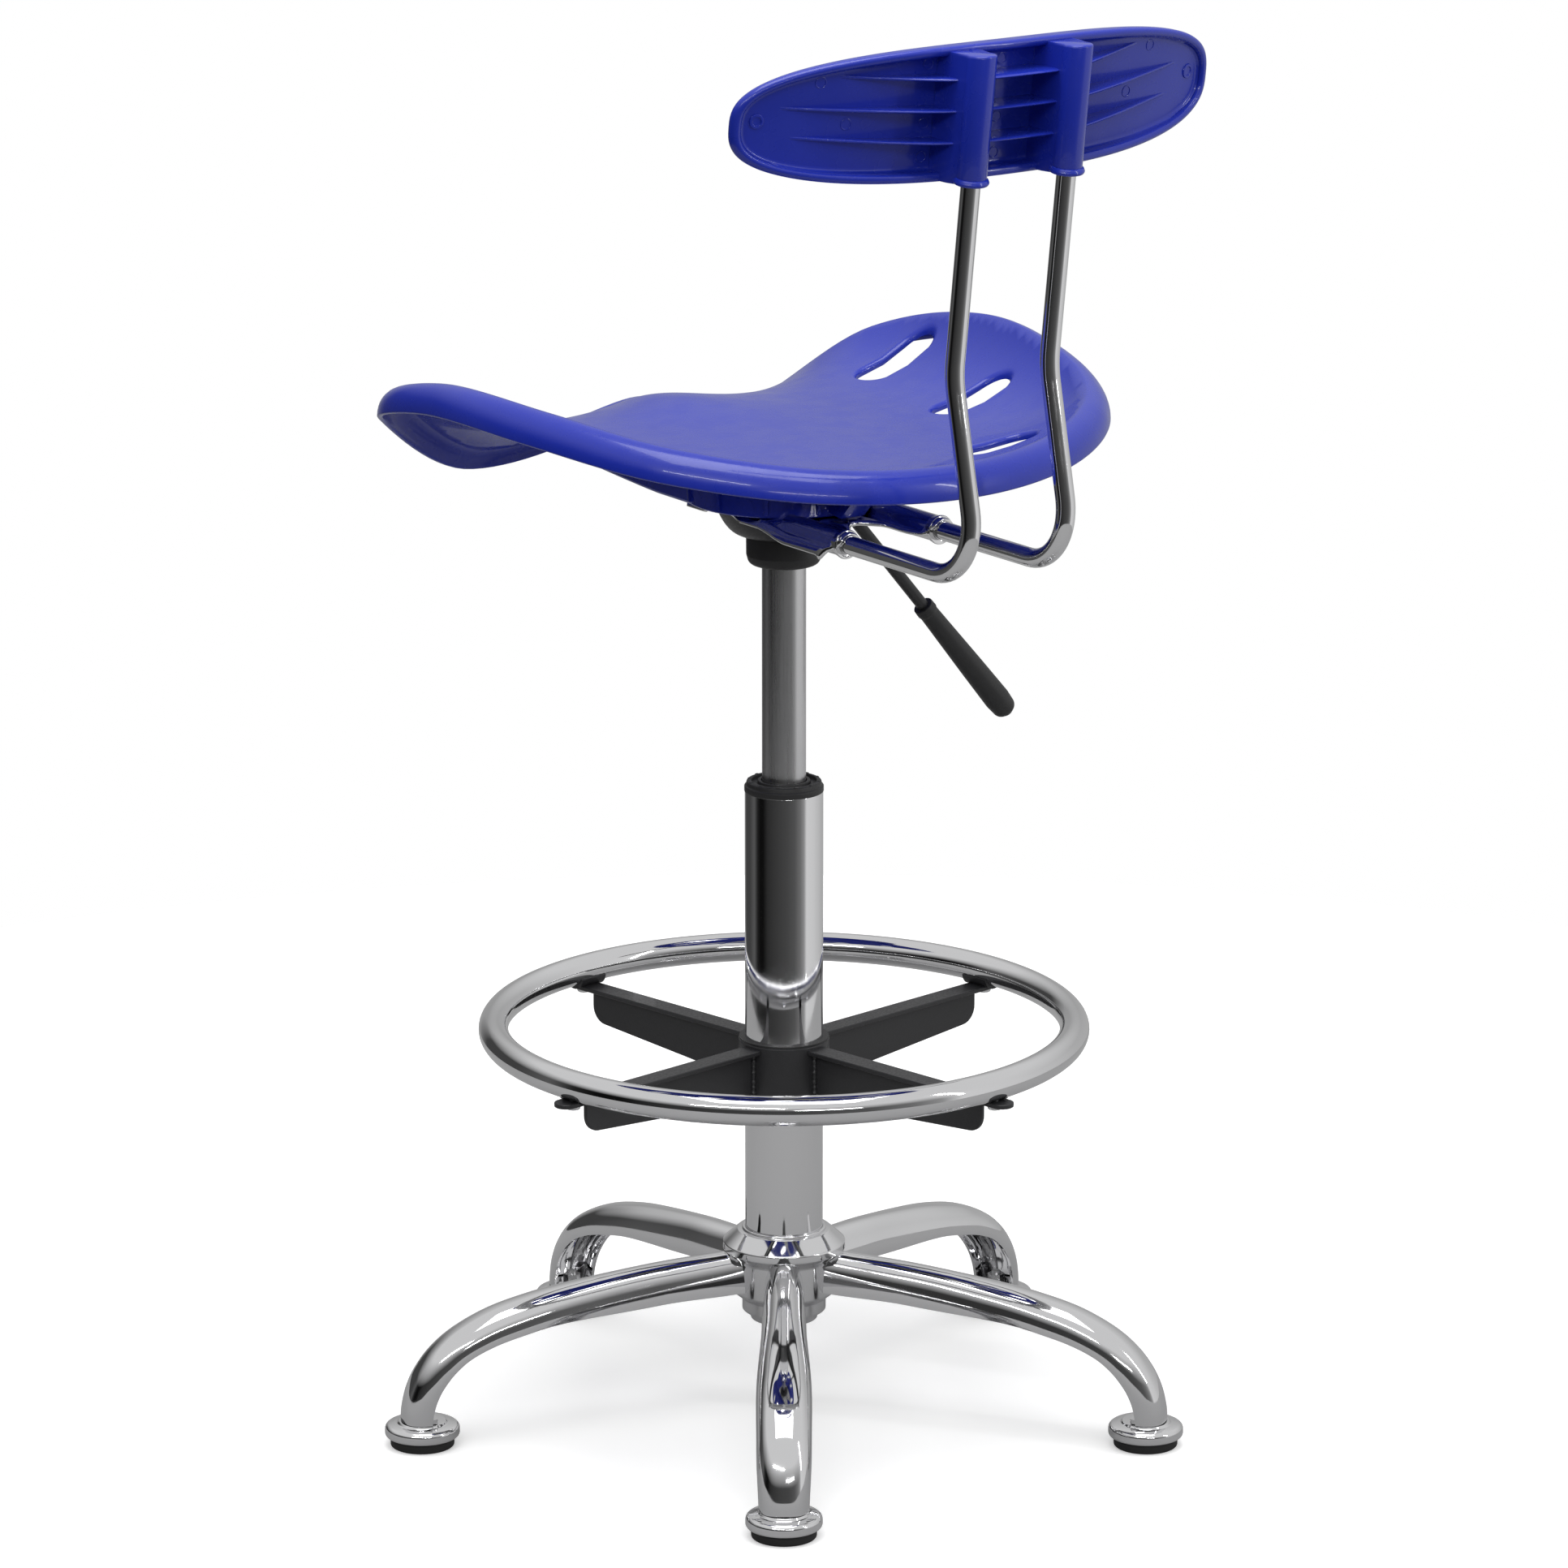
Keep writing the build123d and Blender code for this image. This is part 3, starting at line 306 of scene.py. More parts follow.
def strips(rows, closed_row=True, closed_rows=False):
    """Faces between rows of equally many points."""
    verts = [point for row in rows for point in row]
    count = len(rows[0])
    faces = []
    last = len(rows) if closed_rows else len(rows) - 1
    for i in range(last):
        j = (i + 1) % len(rows)
        for k in range(count if closed_row else count - 1):
            n = (k + 1) % count
            faces.append([i * count + k, i * count + n, j * count + n, j * count + k])
    return verts, faces


def capped(mesh, count):
    """Closes the first and the last row, of count points each."""
    verts, faces = mesh
    total = len(verts)
    return verts, faces + [list(range(count)), list(range(total - count, total))]


def path_points(corners, radii, steps=14):
    """A 3-D polyline with arcs at its inner corners."""
    corners = [Vector(c) for c in corners]
    out = [corners[0]]
    for i in range(1, len(corners) - 1):
        before = corners[i - 1] - corners[i]
        after = corners[i + 1] - corners[i]
        half = before.angle(after) / 2
        cut = radii[i - 1] / tan(half)
        inward = (before.normalized() + after.normalized()).normalized()
        middle = corners[i] + inward * (radii[i - 1] / sin(half))
        start = corners[i] + before.normalized() * cut - middle
        end = corners[i] + after.normalized() * cut - middle
        total = start.angle(end)
        for k in range(steps + 1):
            share = k / steps
            point = (start * sin((1 - share) * total) + end * sin(share * total)) / sin(total)
            out.append(middle + point)
    out.append(corners[-1])
    return out


def tube_mesh(path, radius_at, sides):
    """A round tube along a path; radius_at gives the radius at each point's index."""
    rows = []
    side = None
    for i, point in enumerate(path):
        ahead = path[min(i + 1, len(path) - 1)] - path[max(i - 1, 0)]
        ahead.normalize()
        if side is None:
            side = ahead.orthogonal().normalized()
        side = (side - ahead * side.dot(ahead)).normalized()
        other = ahead.cross(side)
        r = radius_at(i)
        rows.append([
            tuple(point + (side * cos(2 * pi * k / sides) + other * sin(2 * pi * k / sides)) * r)
            for k in range(sides)
        ])
    return capped(strips(rows), sides)


def prism_mesh(outline, low, high, matrix=Matrix.Identity(4)):
    """A flat outline of (a, b) between two heights, placed by a matrix."""
    count = len(outline)
    verts = [(a, b, low) for a, b in outline] + [(a, b, high) for a, b in outline]
    faces = [list(range(count)), list(range(2 * count - 1, count - 1, -1))]
    for k in range(count):
        n = (k + 1) % count
        faces.append([k, n, n + count, k + count])
    return moved((verts, faces), matrix)


def soften(piece, width, segments=2):
    """Rounds a piece's sharp edges a little."""
    bevel = piece.modifiers.new("edge", "BEVEL")
    bevel.width = width * MM
    bevel.segments = segments
    bevel.limit_method = "ANGLE"
    bevel.angle_limit = radians(40)
    bevel.harden_normals = True
    bevel.use_clamp_overlap = True


# ------------------------------------------------------------------ camera
CAMERA_AZIMUTH, CAMERA_PITCH = radians(145), 0.256
CAMERA_REACH, CAMERA_HEIGHT = 4.6466, 1.633
FOCAL_PIXELS, IMAGE_PIXELS, SENSOR = 9318.25, 1932, 36.0
camera_data = bpy.data.cameras.new("camera")
camera = bpy.data.objects.new("camera", camera_data)
bpy.context.collection.objects.link(camera)
camera_data.sensor_width = SENSOR
camera_data.lens = FOCAL_PIXELS * SENSOR / IMAGE_PIXELS
camera_data.clip_end = 50
camera.location = (
    CAMERA_REACH * sin(CAMERA_AZIMUTH), -CAMERA_REACH * cos(CAMERA_AZIMUTH), CAMERA_HEIGHT
)
aim = Vector((
    -sin(CAMERA_AZIMUTH) * cos(CAMERA_PITCH),
    cos(CAMERA_AZIMUTH) * cos(CAMERA_PITCH),
    -sin(CAMERA_PITCH),
))
camera.rotation_euler = aim.to_track_quat("-Z", "Y").to_euler()
bpy.context.scene.camera = camera

# ------------------------------------------------------------------ base
hub_profile = rounded([
    (25.0, 72.0, 0), (25.0, 120.5, 0), (26.2, 122.0, 0.8), (30.0, 121.6, 1.5), (39.5, 113.4, 1.6),
    (39.5, 108.8, 1.2), (36.4, 105.8, 1.2), (33.2, 103.0, 3.0), (33.2, 80.0, 2.5),
    (29.5, 77.0, 1.0), (27.0, 75.0, 1.0), (27.0, 67.0, 1.5), (22.0, 65.5, 0.8), (21.5, 61.0, 1.0),
    (12.0, 60.0, 0.6), (12.0, 70.2, 0),
], steps=5)
lathe("hub", hub_profile, CHROME, "base", ["base_hub"], 160)
lathe("hub_collar", rounded([
    (25.05, 120.6, 0), (27.2, 120.6, 0), (27.2, 123.4, 0.8), (25.05, 123.4, 0.3),
], steps=4), CHROME, "base", segments=128)

# The leg's top line, (reach, height)
LEG_RIDGE = [
    (30.0, 109.4), (45.0, 108.3), (91.0, 105.0), (145.0, 98.2), (175.0, 92.5), (199.0, 85.6),
    (221.0, 75.0), (236.0, 63.5), (246.5, 50.5), (252.6, 38.0), (255.6, 26.0), (256.4, 17.2),
]


def smooth_path(points, steps):
    """A smooth curve through flat points."""
    out = []
    for i in range(len(points) - 1):
        p0 = Vector(points[max(i - 1, 0)])
        p1, p2 = Vector(points[i]), Vector(points[i + 1])
        p3 = Vector(points[min(i + 2, len(points) - 1)])
        for k in range(steps):
            t = k / steps
            out.append(0.5 * (2 * p1 + (p2 - p0) * t + (2 * p0 - 5 * p1 + 4 * p2 - p3) * t * t
                              + (3 * p1 - p0 - 3 * p2 + p3) * t * t * t))
    out.append(Vector(points[-1]))
    return out


def between(value, stops):
    """A value read from rising (place, value) stops, eased."""
    if value <= stops[0][0]:
        return stops[0][1]
    for (a, va), (b, vb) in zip(stops, stops[1:]):
        if value <= b:
            share = (value - a) / (b - a)
            share = share * share * (3 - 2 * share)
            return va + (vb - va) * share
    return stops[-1][1]


ridge = smooth_path(LEG_RIDGE, 7)
lengths = [0.0]
for first, second in zip(ridge, ridge[1:]):
    lengths.append(lengths[-1] + (second - first).length)
# Widths and depths of the leg by the distance along its ridge
LEG_WIDTHS = [(0.0, 26.0), (60.0, 28.5), (170.0, 35.0), (215.0, 34.5), (285.0, 31.0)]
LEG_DEPTHS = [(0.0, 25.5), (60.0, 23.5), (150.0, 19.0), (205.0, 16.5), (285.0, 16.0)]
LEG_WALL, ARCH_STEPS = 2.0, 30
ARCH_SQUARENESS, CROWN_SQUARENESS = 2.6, 2.2


def leg_section(index, inset):
    """One arch of the leg: outer when inset is 0, inner when it is the wall."""
    place = lengths[index]
    width = between(place, LEG_WIDTHS) / 2 - inset
    depth = between(place, LEG_DEPTHS)
    ahead = (ridge[min(index + 1, len(ridge) - 1)] - ridge[max(index - 1, 0)]).normalized()
    down = Vector((-ahead.y, ahead.x)) * -1
    if down.y > 0 and abs(down.y) > abs(down.x):
        down = -down
    if index > len(ridge) * 0.75 and down.x > 0:
        down = -down
    row = []
    for k in range(ARCH_STEPS + 1):
        angle = pi * k / ARCH_STEPS
        across = abs(cos(angle)) ** (2 / ARCH_SQUARENESS) * width * sign(cos(angle))
        fall = depth - (depth - inset) * abs(sin(angle)) ** (2 / CROWN_SQUARENESS)
        point = ridge[index] + down * fall
        row.append((point.x, across, max(point.y, GLIDE_TOP)))
    return row


leg_rows = [
    leg_section(index, 0.0) + leg_section(index, LEG_WALL)[::-1] for index in range(len(ridge))
]
leg_mesh = capped(strips(leg_rows), len(leg_rows[0]))
tongue = prism_mesh(rounded([
    (235.5, -12.0, 2), (252.0, -13.5, 5), (252.0, 13.5, 5), (235.5, 12.0, 2),
]), GLIDE_TOP, GLIDE_TOP + 3.0)
for index in range(5):
    place = turned(LEG_FIRST_ANGLE + 72 * index)
    leg = build(
        f"leg_{index + 1}_shell", *moved(leg_mesh, place), CHROME, "base", [f"leg_{index + 1}"], 50
    )
    soften(leg, 0.7)
    build(f"leg_{index + 1}_tongue", *moved(tongue, place), CHROME, "base")

cup_profile = rounded([
    (0.0, 16.6, 0), (15.0, 16.6, 0.6), (16.0, 15.2, 0.8), (18.2, 15.0, 0.8), (23.9, 14.2, 3.6),
    (24.0, 6.6, 3.4), (19.0, 6.0, 0.8), (18.5, 8.0, 0), (0.0, 8.0, 0),
], closed=False, steps=7)
pad_profile = rounded([
    (0.0, 0.0, 0), (20.4, 0.0, 1.4), (20.5, 5.9, 0.6), (18.5, 6.2, 0), (18.5, 7.9, 0),
    (0.0, 7.9, 0),
], closed=False)
for index in range(5):
    angle = radians(LEG_FIRST_ANGLE + 72 * index)
    place = Matrix.Translation((FOOT_CIRCLE * cos(angle), FOOT_CIRCLE * sin(angle), 0))
    number = index + 1
    lathe(f"glide_{number}", cup_profile, CHROME, "base", [f"glide_cup_{number}"], 96, place)
    lathe(f"pad_{number}", pad_profile, RUBBER, "base", [f"glide_pad_{number}"], 96, place)

# ------------------------------------------------------------------ column
lathe("column", rounded([
    (25.0, 70.0, 0), (25.0, 413.0, 0.6), (23.0, 413.0, 0.3), (23.0, 70.0, 0),
], steps=4), CHROME, "base", ["column_tube"], 192)
lathe("column_ring", rounded([
    (22.6, 412.6, 0), (25.3, 412.6, 0.5), (25.3, 416.2, 0.7), (24.2, 417.0, 0.5), (23.8, 419.4, 0.9),
    (20.8, 420.0, 0.6), (20.4, 417.6, 0.3), (17.0, 417.6, 0.3), (16.6, 420.0, 0.6),
    (14.6, 420.0, 0.4), (14.6, 412.6, 0),
], steps=4), PLASTIC, "base", ["column_cap"], 160)
rib = prism_mesh([(20.9, -1.2), (23.4, -1.2), (23.4, 1.2), (20.9, 1.2)], 418.4, 420.0)
ribs = joined(*[moved(rib, turned(15 + 30 * k)) for k in range(12)])
soften(build("column_ring_ribs", *ribs, PLASTIC, "base"), 0.3)

# ------------------------------------------------------------------ foot ring
ring_profile = [
    (RING_RADIUS + RING_TUBE * cos(2 * pi * k / 48), RING_HEIGHT + RING_TUBE * sin(2 * pi * k / 48))
    for k in range(48)
]
ARM_ANGLES = [ARM_FIRST_ANGLE + 90 * k for k in range(4)]
lathe("foot_ring", ring_profile, CHROME, "footring", ["footring_tube"], 256)
arm_flange = prism_mesh(rounded([
    (28.4, -7.5, 0), (199.5, -7.5, 7.4), (199.5, 7.5, 7.4), (28.4, 7.5, 0),
], steps=10), ARM_TOP - 3.0, ARM_TOP)
# Stands a flat outline up in the XZ plane
stand = Matrix(((1, 0, 0, 0), (0, 0, -1, 0), (0, 1, 0, 0), (0, 0, 0, 1)))
arm_web = prism_mesh(rounded([
    (27.4, ARM_TOP - 2.0, 0), (176.0, ARM_TOP - 2.0, 0.8), (176.0, ARM_TOP - 23.5, 13),
    (27.4, ARM_TOP - 35.0, 0),
], steps=10), -1.5, 1.5, stand)
arms = joined(*[moved(joined(arm_flange, arm_web), turned(angle)) for angle in ARM_ANGLES])
soften(build("ring_arms", *arms, PAINT, "footring", ["footring_spider"], 40), 0.7, 3)
lathe("ring_collar", rounded([
    (25.4, 212.6, 0), (29.2, 212.5, 0.6), (29.3, 249.4, 0.8), (27.0, 249.5, 0.5), (26.9, 250.4, 0.3),
    (25.4, 250.4, 0.2),
], steps=4), PAINT, "footring", segments=128)
# The saddles that hold the tube: an arc of its section, swept a little way along the ring
SADDLE_START, SADDLE_ARC, SADDLE_TURN = 203, 72, 3.4
SADDLE_SIDES, SADDLE_STEPS = 14, 12


def saddle_point(turn, step, thick):
    angle = radians(SADDLE_START + SADDLE_ARC * step / SADDLE_SIDES)
    reach = RING_RADIUS + thick * cos(angle)
    return reach * cos(turn), reach * sin(turn), RING_HEIGHT + thick * sin(angle)


saddle_rows = []
for k in range(SADDLE_STEPS + 1):
    turn = radians(-SADDLE_TURN + 2 * SADDLE_TURN * k / SADDLE_STEPS)
    row = [saddle_point(turn, j, RING_TUBE + 0.1) for j in range(SADDLE_SIDES + 1)]
    for j in range(SADDLE_SIDES, -1, -1):
        row.append(saddle_point(turn, j, RING_TUBE + 0.2 + 2.0 * sin(pi * (j + 2) / 19)))
    saddle_rows.append(row)
saddle = capped(strips(saddle_rows), len(saddle_rows[0]))
saddles = joined(*[moved(saddle, turned(angle)) for angle in ARM_ANGLES])
build("ring_saddles", *saddles, PAINT, "footring")
WELD_STEPS = 24
weld_beads = []
for angle in ARM_ANGLES:
    for side in (-1, 1):
        start = turned(angle) @ Vector((29.6, side * 2.0, ARM_TOP - 4.0))
        end = turned(angle) @ Vector((29.6, side * 2.0, ARM_TOP - 33.5))
        line = [start.lerp(end, j / WELD_STEPS) for j in range(WELD_STEPS + 1)]
        weld_beads.append(
            tube_mesh(line, lambda i: 1.5 + 0.35 * sin(i * 2.3) + 0.2 * sin(i * 5.1), 12)
        )
build("ring_welds", *joined(*weld_beads), PAINT, "footring")

# ------------------------------------------------------------------ gas lift and carrier
lathe("lift_tube", rounded([
    (12.4, 272.0, 0), (13.4, 272.0, 0.4), (14.0, 273.5, 0.6), (14.0, 562.0, 0), (13.0, 585.0, 0),
    (3.1, 585.0, 0), (3.1, 560.0, 0), (12.4, 560.0, 0),
], steps=4), SATIN, "seat", ["gas_cylinder"], 128)
lathe("boot", rounded([
    (14.2, 561.0, 0), (15.4, 560.1, 0.4), (17.5, 560.0, 0.6), (22.4, 561.4, 5.0), (23.9, 567.0, 2.5),
    (24.0, 579.6, 0.8), (22.0, 580.6, 0.5), (19.0, 580.0, 0), (19.0, 562.2, 0), (14.2, 562.2, 0),
], steps=6), PLASTIC, "seat", ["column_boot"], 128)
DOME_STEPS = 16
dome_line = [
    (24.0 + 20.0 * (k / DOME_STEPS) ** 0.55, 580.2 + 20.2 * (k / DOME_STEPS) ** 1.45)
    for k in range(DOME_STEPS + 1)
]
dome_inner = [(r - 1.5, z + (0.9 if z < 598 else 0)) for r, z in reversed(dome_line)]
dome_profile = [(19.1, 580.0)] + dome_line + dome_inner + [(19.1, 581.6)]
lathe("dome", dome_profile, PAINT, "seat", ["dome_cup"], 128)

PLATE_HALF, PLATE_FRONT, PLATE_TAIL, PLATE_NECK = 49.0, -50.0, 122.0, 46.0
BEAD_RADIUS = 8.4   # the raised bead over each bar
FOLD_FULL, FOLD_AT_LEVER = 5.5, 1.2   # the side fold's depth, less where the lever passes


def plate_point(u, v):
    """A point on the pressed plate's top face: u runs across from -1 to 1, v back from 0 to 1."""
    x = u * PLATE_HALF
    reach = abs(abs(x) - BAR_X)
    tail = PLATE_TAIL - PLATE_NECK * min(1.0, max(0.0, reach - 7.5) / 26.0) ** 0.7
    y = PLATE_FRONT + (tail - PLATE_FRONT) * v
    share = between(y, [(38.0, 0.0), (70.0, 1.0)])
    if reach < BEAD_RADIUS:
        hump = BAR_HEIGHT + sqrt(BEAD_RADIUS ** 2 - reach ** 2)
    else:
        hump = BAR_HEIGHT - (reach - BEAD_RADIUS) ** 0.5
    if abs(x) < BAR_X:
        hump += (PLATE_TOP - 1.0 - hump) * between(BAR_X - abs(x), [(8.0, 0.0), (24.0, 1.0)])
    z = PLATE_TOP - 0.6 + (hump - PLATE_TOP + 0.6) * share
    edge = min(PLATE_HALF - abs(x), y - PLATE_FRONT)
    fold = between(abs(y), [(12.0, FOLD_AT_LEVER), (20.0, FOLD_FULL)])
    z -= fold * between(3.5 - edge, [(0.0, 0.0), (3.5, 1.0)])
    z -= 2.2 * between(3.0 - (tail - y), [(0.0, 0.0), (3.0, 1.0)]) * (1 if reach > 8 else 0.4)
    corner = max(0.0, abs(x) - 36.0) + max(0.0, -38.0 - y)
    if corner > 12.0:
        y += (corner - 12.0) * 0.5
        x -= (corner - 12.0) * 0.5 * sign(x)
    return (x, y, z)


PLATE_COLUMNS, PLATE_ROWS = 96, 80
plate_rows = [
    [plate_point(-1 + 2 * j / PLATE_COLUMNS, i / PLATE_ROWS) for j in range(PLATE_COLUMNS + 1)]
    for i in range(PLATE_ROWS + 1)
]
plate_mesh = strips(plate_rows, closed_row=False)
plate = build("seat_bracket", *plate_mesh, CHROME, "seat", ["seat_plate"], 60, False)
plate_thick = plate.modifiers.new("thickness", "SOLIDIFY")
plate_thick.thickness = 2.0 * MM
plate_thick.offset = -1.0
for side in (-1, 1):
    lay = Matrix.Translation((side * BAR_X, 0, BAR_HEIGHT)) @ Matrix.Rotation(radians(-90), 4, "X")
    lathe(f"bar_sleeve_{'left' if side > 0 else 'right'}", rounded([
        (6.05, 58.0, 0), (8.1, 58.0, 0.5), (8.1, 112.0, 1.5), (9.3, 118.0, 1.2), (9.0, 119.0, 0.4),
        (6.05, 118.4, 0.3),
    ], steps=4), CHROME, "seat", segments=64, matrix=lay)

# ------------------------------------------------------------------ lever
drop = radians(LEVER_DROP)
lever_dir = Vector((-cos(drop), 0, -sin(drop)))
lever_bend = Vector((LEVER_BEND_X, 0, LEVER_HEIGHT))
grip_start = lever_bend + lever_dir * (LEVER_LENGTH - GRIP_LENGTH)
rod_end = grip_start + lever_dir * GRIP_SOCKET
rod_path = path_points([(5.0, 0, LEVER_HEIGHT), lever_bend, rod_end], [LEVER_BEND_RADIUS])
build("lever_bar", *tube_mesh(rod_path, lambda i: LEVER_RADIUS, 32), PAINT, "lever", ["lever_rod"])
grip_profile = rounded([
    (LEVER_RADIUS, 0.0, 0), (6.7, 0.0, 0.8), (6.9, 5.4, 0.9), (6.3, 7.4, 1.0), (6.7, 22.0, 8),
    (7.8, 60.0, 20), (8.5, 92.0, 8), (7.6, 102.0, 5), (3.0, GRIP_LENGTH, 4), (0.0, GRIP_LENGTH, 0),
    (0.0, GRIP_SOCKET, 0), (LEVER_RADIUS, GRIP_SOCKET, 0),
], steps=8)
across = Vector((0, 1, 0))
over = across.cross(lever_dir)
grip_place = Matrix((
    (over.x, across.x, lever_dir.x, grip_start.x),
    (over.y, across.y, lever_dir.y, grip_start.y),
    (over.z, across.z, lever_dir.z, grip_start.z),
    (0, 0, 0, 1),
))
lathe("lever_handle", grip_profile, PLASTIC, "lever", ["lever_grip"], 72, grip_place)

# ------------------------------------------------------------------ backrest bars
for side, name in ((1, "left"), (-1, "right")):
    line = path_points([(side * BAR_X, y, z) for y, z in BAR_PATH], BAR_BENDS, 20)
    bar = tube_mesh(line, lambda i: BAR_RADIUS, 48)
    build(f"bar_{name}", *bar, CHROME, "seat", [f"back_bar_{name}"])

# ------------------------------------------------------------------ backrest
LEAN = tan(BAR_LEAN)
BAR_Y_MIDDLE = BAR_KNEE_Y + (BACK_MIDDLE - BAR_KNEE_Z) * LEAN
FRONT_Y = BAR_Y_MIDDLE - BACK_GAP
HALF_WIDTH, HALF_HEIGHT = BACK_WIDTH / 2, BACK_HEIGHT / 2
FRONT_EDGE, RIM_EDGE = 5.0, 2.9   # radii of the front edge and of the rim at the rear


def back_face(x, up):
    """The front face's Y at a place across and above the middle."""
    bow = sqrt(BACK_BOW ** 2 - BAR_X ** 2) - sqrt(BACK_BOW ** 2 - x ** 2)
    return FRONT_Y - bow + up * LEAN


def back_rim_depth(x):
    share = min(1.0, abs(x) / HALF_WIDTH)
    return BACK_DEPTH + (BACK_END_DEPTH - BACK_DEPTH) * share * share


def oval_loop(half_width, half_height, behind, count=192):
    """A loop of the rounded oval; behind maps x to a distance behind the front face."""
    loop = []
    for k in range(count):
        angle = 2 * pi * k / count
        c, s = cos(angle), sin(angle)
        x = abs(c) ** (2 / BACK_ROUND) * half_width * sign(c)
        up = abs(s) ** (2 / BACK_ROUND) * half_height * sign(s)
        loop.append((x, back_face(x, up) + behind(x), BACK_MIDDLE + up))
    return loop


def inset_loop(inset, behind):
    """The backrest's outline set in from its edge."""
    return oval_loop(HALF_WIDTH - inset, HALF_HEIGHT - inset, behind)


back_rows = []
for share in (0.02, 0.12, 0.24, 0.36, 0.48, 0.6, 0.7, 0.8, 0.88):
    back_rows.append(oval_loop((HALF_WIDTH - 7) * share, (HALF_HEIGHT - 7) * share, lambda x: 0.0))
back_rows.append(inset_loop(7.0, lambda x: 0.0))
for turn in (15, 30, 45, 60, 75, 90):
    a = radians(turn)
    back_rows.append(inset_loop(
        FRONT_EDGE - FRONT_EDGE * sin(a), lambda x: FRONT_EDGE - FRONT_EDGE * cos(a)
    ))
for share in (0.25, 0.5, 0.75):
    back_rows.append(inset_loop(0.0, lambda x: FRONT_EDGE + (back_rim_depth(x) - 8.0) * share))
for turn in (0, 30, 60, 90, 120, 150, 180):
    a = radians(turn)
    back_rows.append(inset_loop(
        RIM_EDGE - RIM_EDGE * cos(a), lambda x: back_rim_depth(x) - RIM_EDGE + RIM_EDGE * sin(a)
    ))
back_rows.append(inset_loop(
    6.1, lambda x: BACK_SKIN + (back_rim_depth(x) - RIM_EDGE - BACK_SKIN) * 0.45
))
for inset, lift in ((6.4, 1.6), (7.0, 0.7), (8.0, 0.15), (9.5, 0.0)):
    back_rows.append(inset_loop(inset, lambda x: BACK_SKIN + lift))
for share in (0.9, 0.8, 0.7, 0.6, 0.48, 0.36, 0.24, 0.12, 0.02):
    back_rows.append(
        oval_loop((HALF_WIDTH - 9.5) * share, (HALF_HEIGHT - 9.5) * share, lambda x: BACK_SKIN)
    )
back_mesh = capped(strips(back_rows), len(back_rows[0]))
build("backrest", *back_mesh, BLUE, "seat", ["back_shell"], 60)

RIB_STEPS = 40
RIBS = [(22.0, 27.0, 112.0), (3.0, 10.5, 150.0), (-16.5, -8.0, 142.0)]   # root, tip height, reach
# Half of a rib's section: (share of its thickness, share of its height)
RIB_SECTION = [(-1.0, 0.3), (-0.85, 0.88), (-0.55, 0.97), (0.0, 1.0), (0.55, 0.97), (0.85, 0.88),
               (1.0, 0.3)]


def rib_row(root, tip, reach, side, share):
    """One section of a rib: across between the bars when side is 0, else out towards an end."""
    if side == 0:
        x = -BAR_X + 2 * BAR_X * share
        up = root
        proud = BACK_GAP - 4.5
    else:
        x = side * (BAR_X + 4 + (reach - BAR_X - 4) * share)
        up = root + (tip - root) * share ** 1.4
        proud = (BACK_GAP - 5.5 - BACK_SKIN) * (1 - share) ** 1.15 + BACK_SKIN - 0.4
    thick = 1.0 + 0.35 * (1 - share if side else 1)
    ground = back_face(x, up) + 2.0
    crest = back_face(x, up) + max(proud, 2.6)
    section = [(-thick - 0.5, 0.0)] + [(thick * off, lift) for off, lift in RIB_SECTION]
    section.append((thick + 0.5, 0.0))
    return [
        (x, ground + (crest - ground) * lift + LEAN * off, BACK_MIDDLE + up + off)
        for off, lift in section
    ]


rib_meshes = []
for root, tip, reach in RIBS:
    for side in (-1, 0, 1):
        rows = [rib_row(root, tip, reach, side, k / RIB_STEPS) for k in range(RIB_STEPS + 1)]
        rib_meshes.append(capped(strips(rows), len(rows[0])))
build("backrest_ribs", *joined(*rib_meshes), BLUE, "seat", sharp=55)

# The sockets that the bars end in: a round boss merged into a block on the shell
SOCKET_LOW, SOCKET_HIGH, SOCKET_RADIUS = 1.0 - HALF_HEIGHT, HALF_HEIGHT - 3.2, 9.35
SOCKET_SIDE = [(9.7, -12.0), (9.9, -20.0), (10.1, -BACK_GAP + 5.2), (10.6, -BACK_GAP + 3.2)]
SOCKET_LEVELS = [
    (SOCKET_LOW, 0.9), (SOCKET_LOW + 0.4, 0.97), (SOCKET_LOW + 1.0, 1.0), (0.0, 1.0),
    (SOCKET_HIGH - 1.6, 1.0), (SOCKET_HIGH - 0.5, 0.96), (SOCKET_HIGH, 0.86),
]
socket_outline = []
for k in range(33):
    angle = radians(-18 + 216 * k / 32)
    socket_outline.append((SOCKET_RADIUS * cos(angle), SOCKET_RADIUS * sin(angle)))
socket_outline += [(-a, b) for a, b in SOCKET_SIDE] + SOCKET_SIDE[::-1]
socket_lip = lathe_mesh(rounded([
    (6.2, 0.0, 0), (10.4, 0.0, 1.0), (11.1, 1.7, 1.2), (10.2, 3.6, 1.2), (9.0, 4.2, 0.4),
    (6.2, 4.2, 0),
], steps=5), 72)
lean_matrix = Matrix.Rotation(-BAR_LEAN, 4, "X")
socket_meshes = []
for side in (-1, 1):
    origin = Vector((side * BAR_X, BAR_Y_MIDDLE, BACK_MIDDLE))
    rows = []
    for up, scale in SOCKET_LEVELS:
        row = []
        for a, b in socket_outline:
            if b > -5:
                a, b = a * scale, b * scale
            row.append((origin.x + a, origin.y + up * LEAN + b, origin.z + up))
        rows.append(row)
    socket_meshes.append(capped(strips(rows), len(socket_outline)))
    sunk = Matrix.Translation((0, 0, SOCKET_LOW - 0.4))
    socket_meshes.append(moved(socket_lip, Matrix.Translation(origin) @ lean_matrix @ sunk))
build("backrest_sockets", *joined(*socket_meshes), BLUE, "seat", sharp=50)


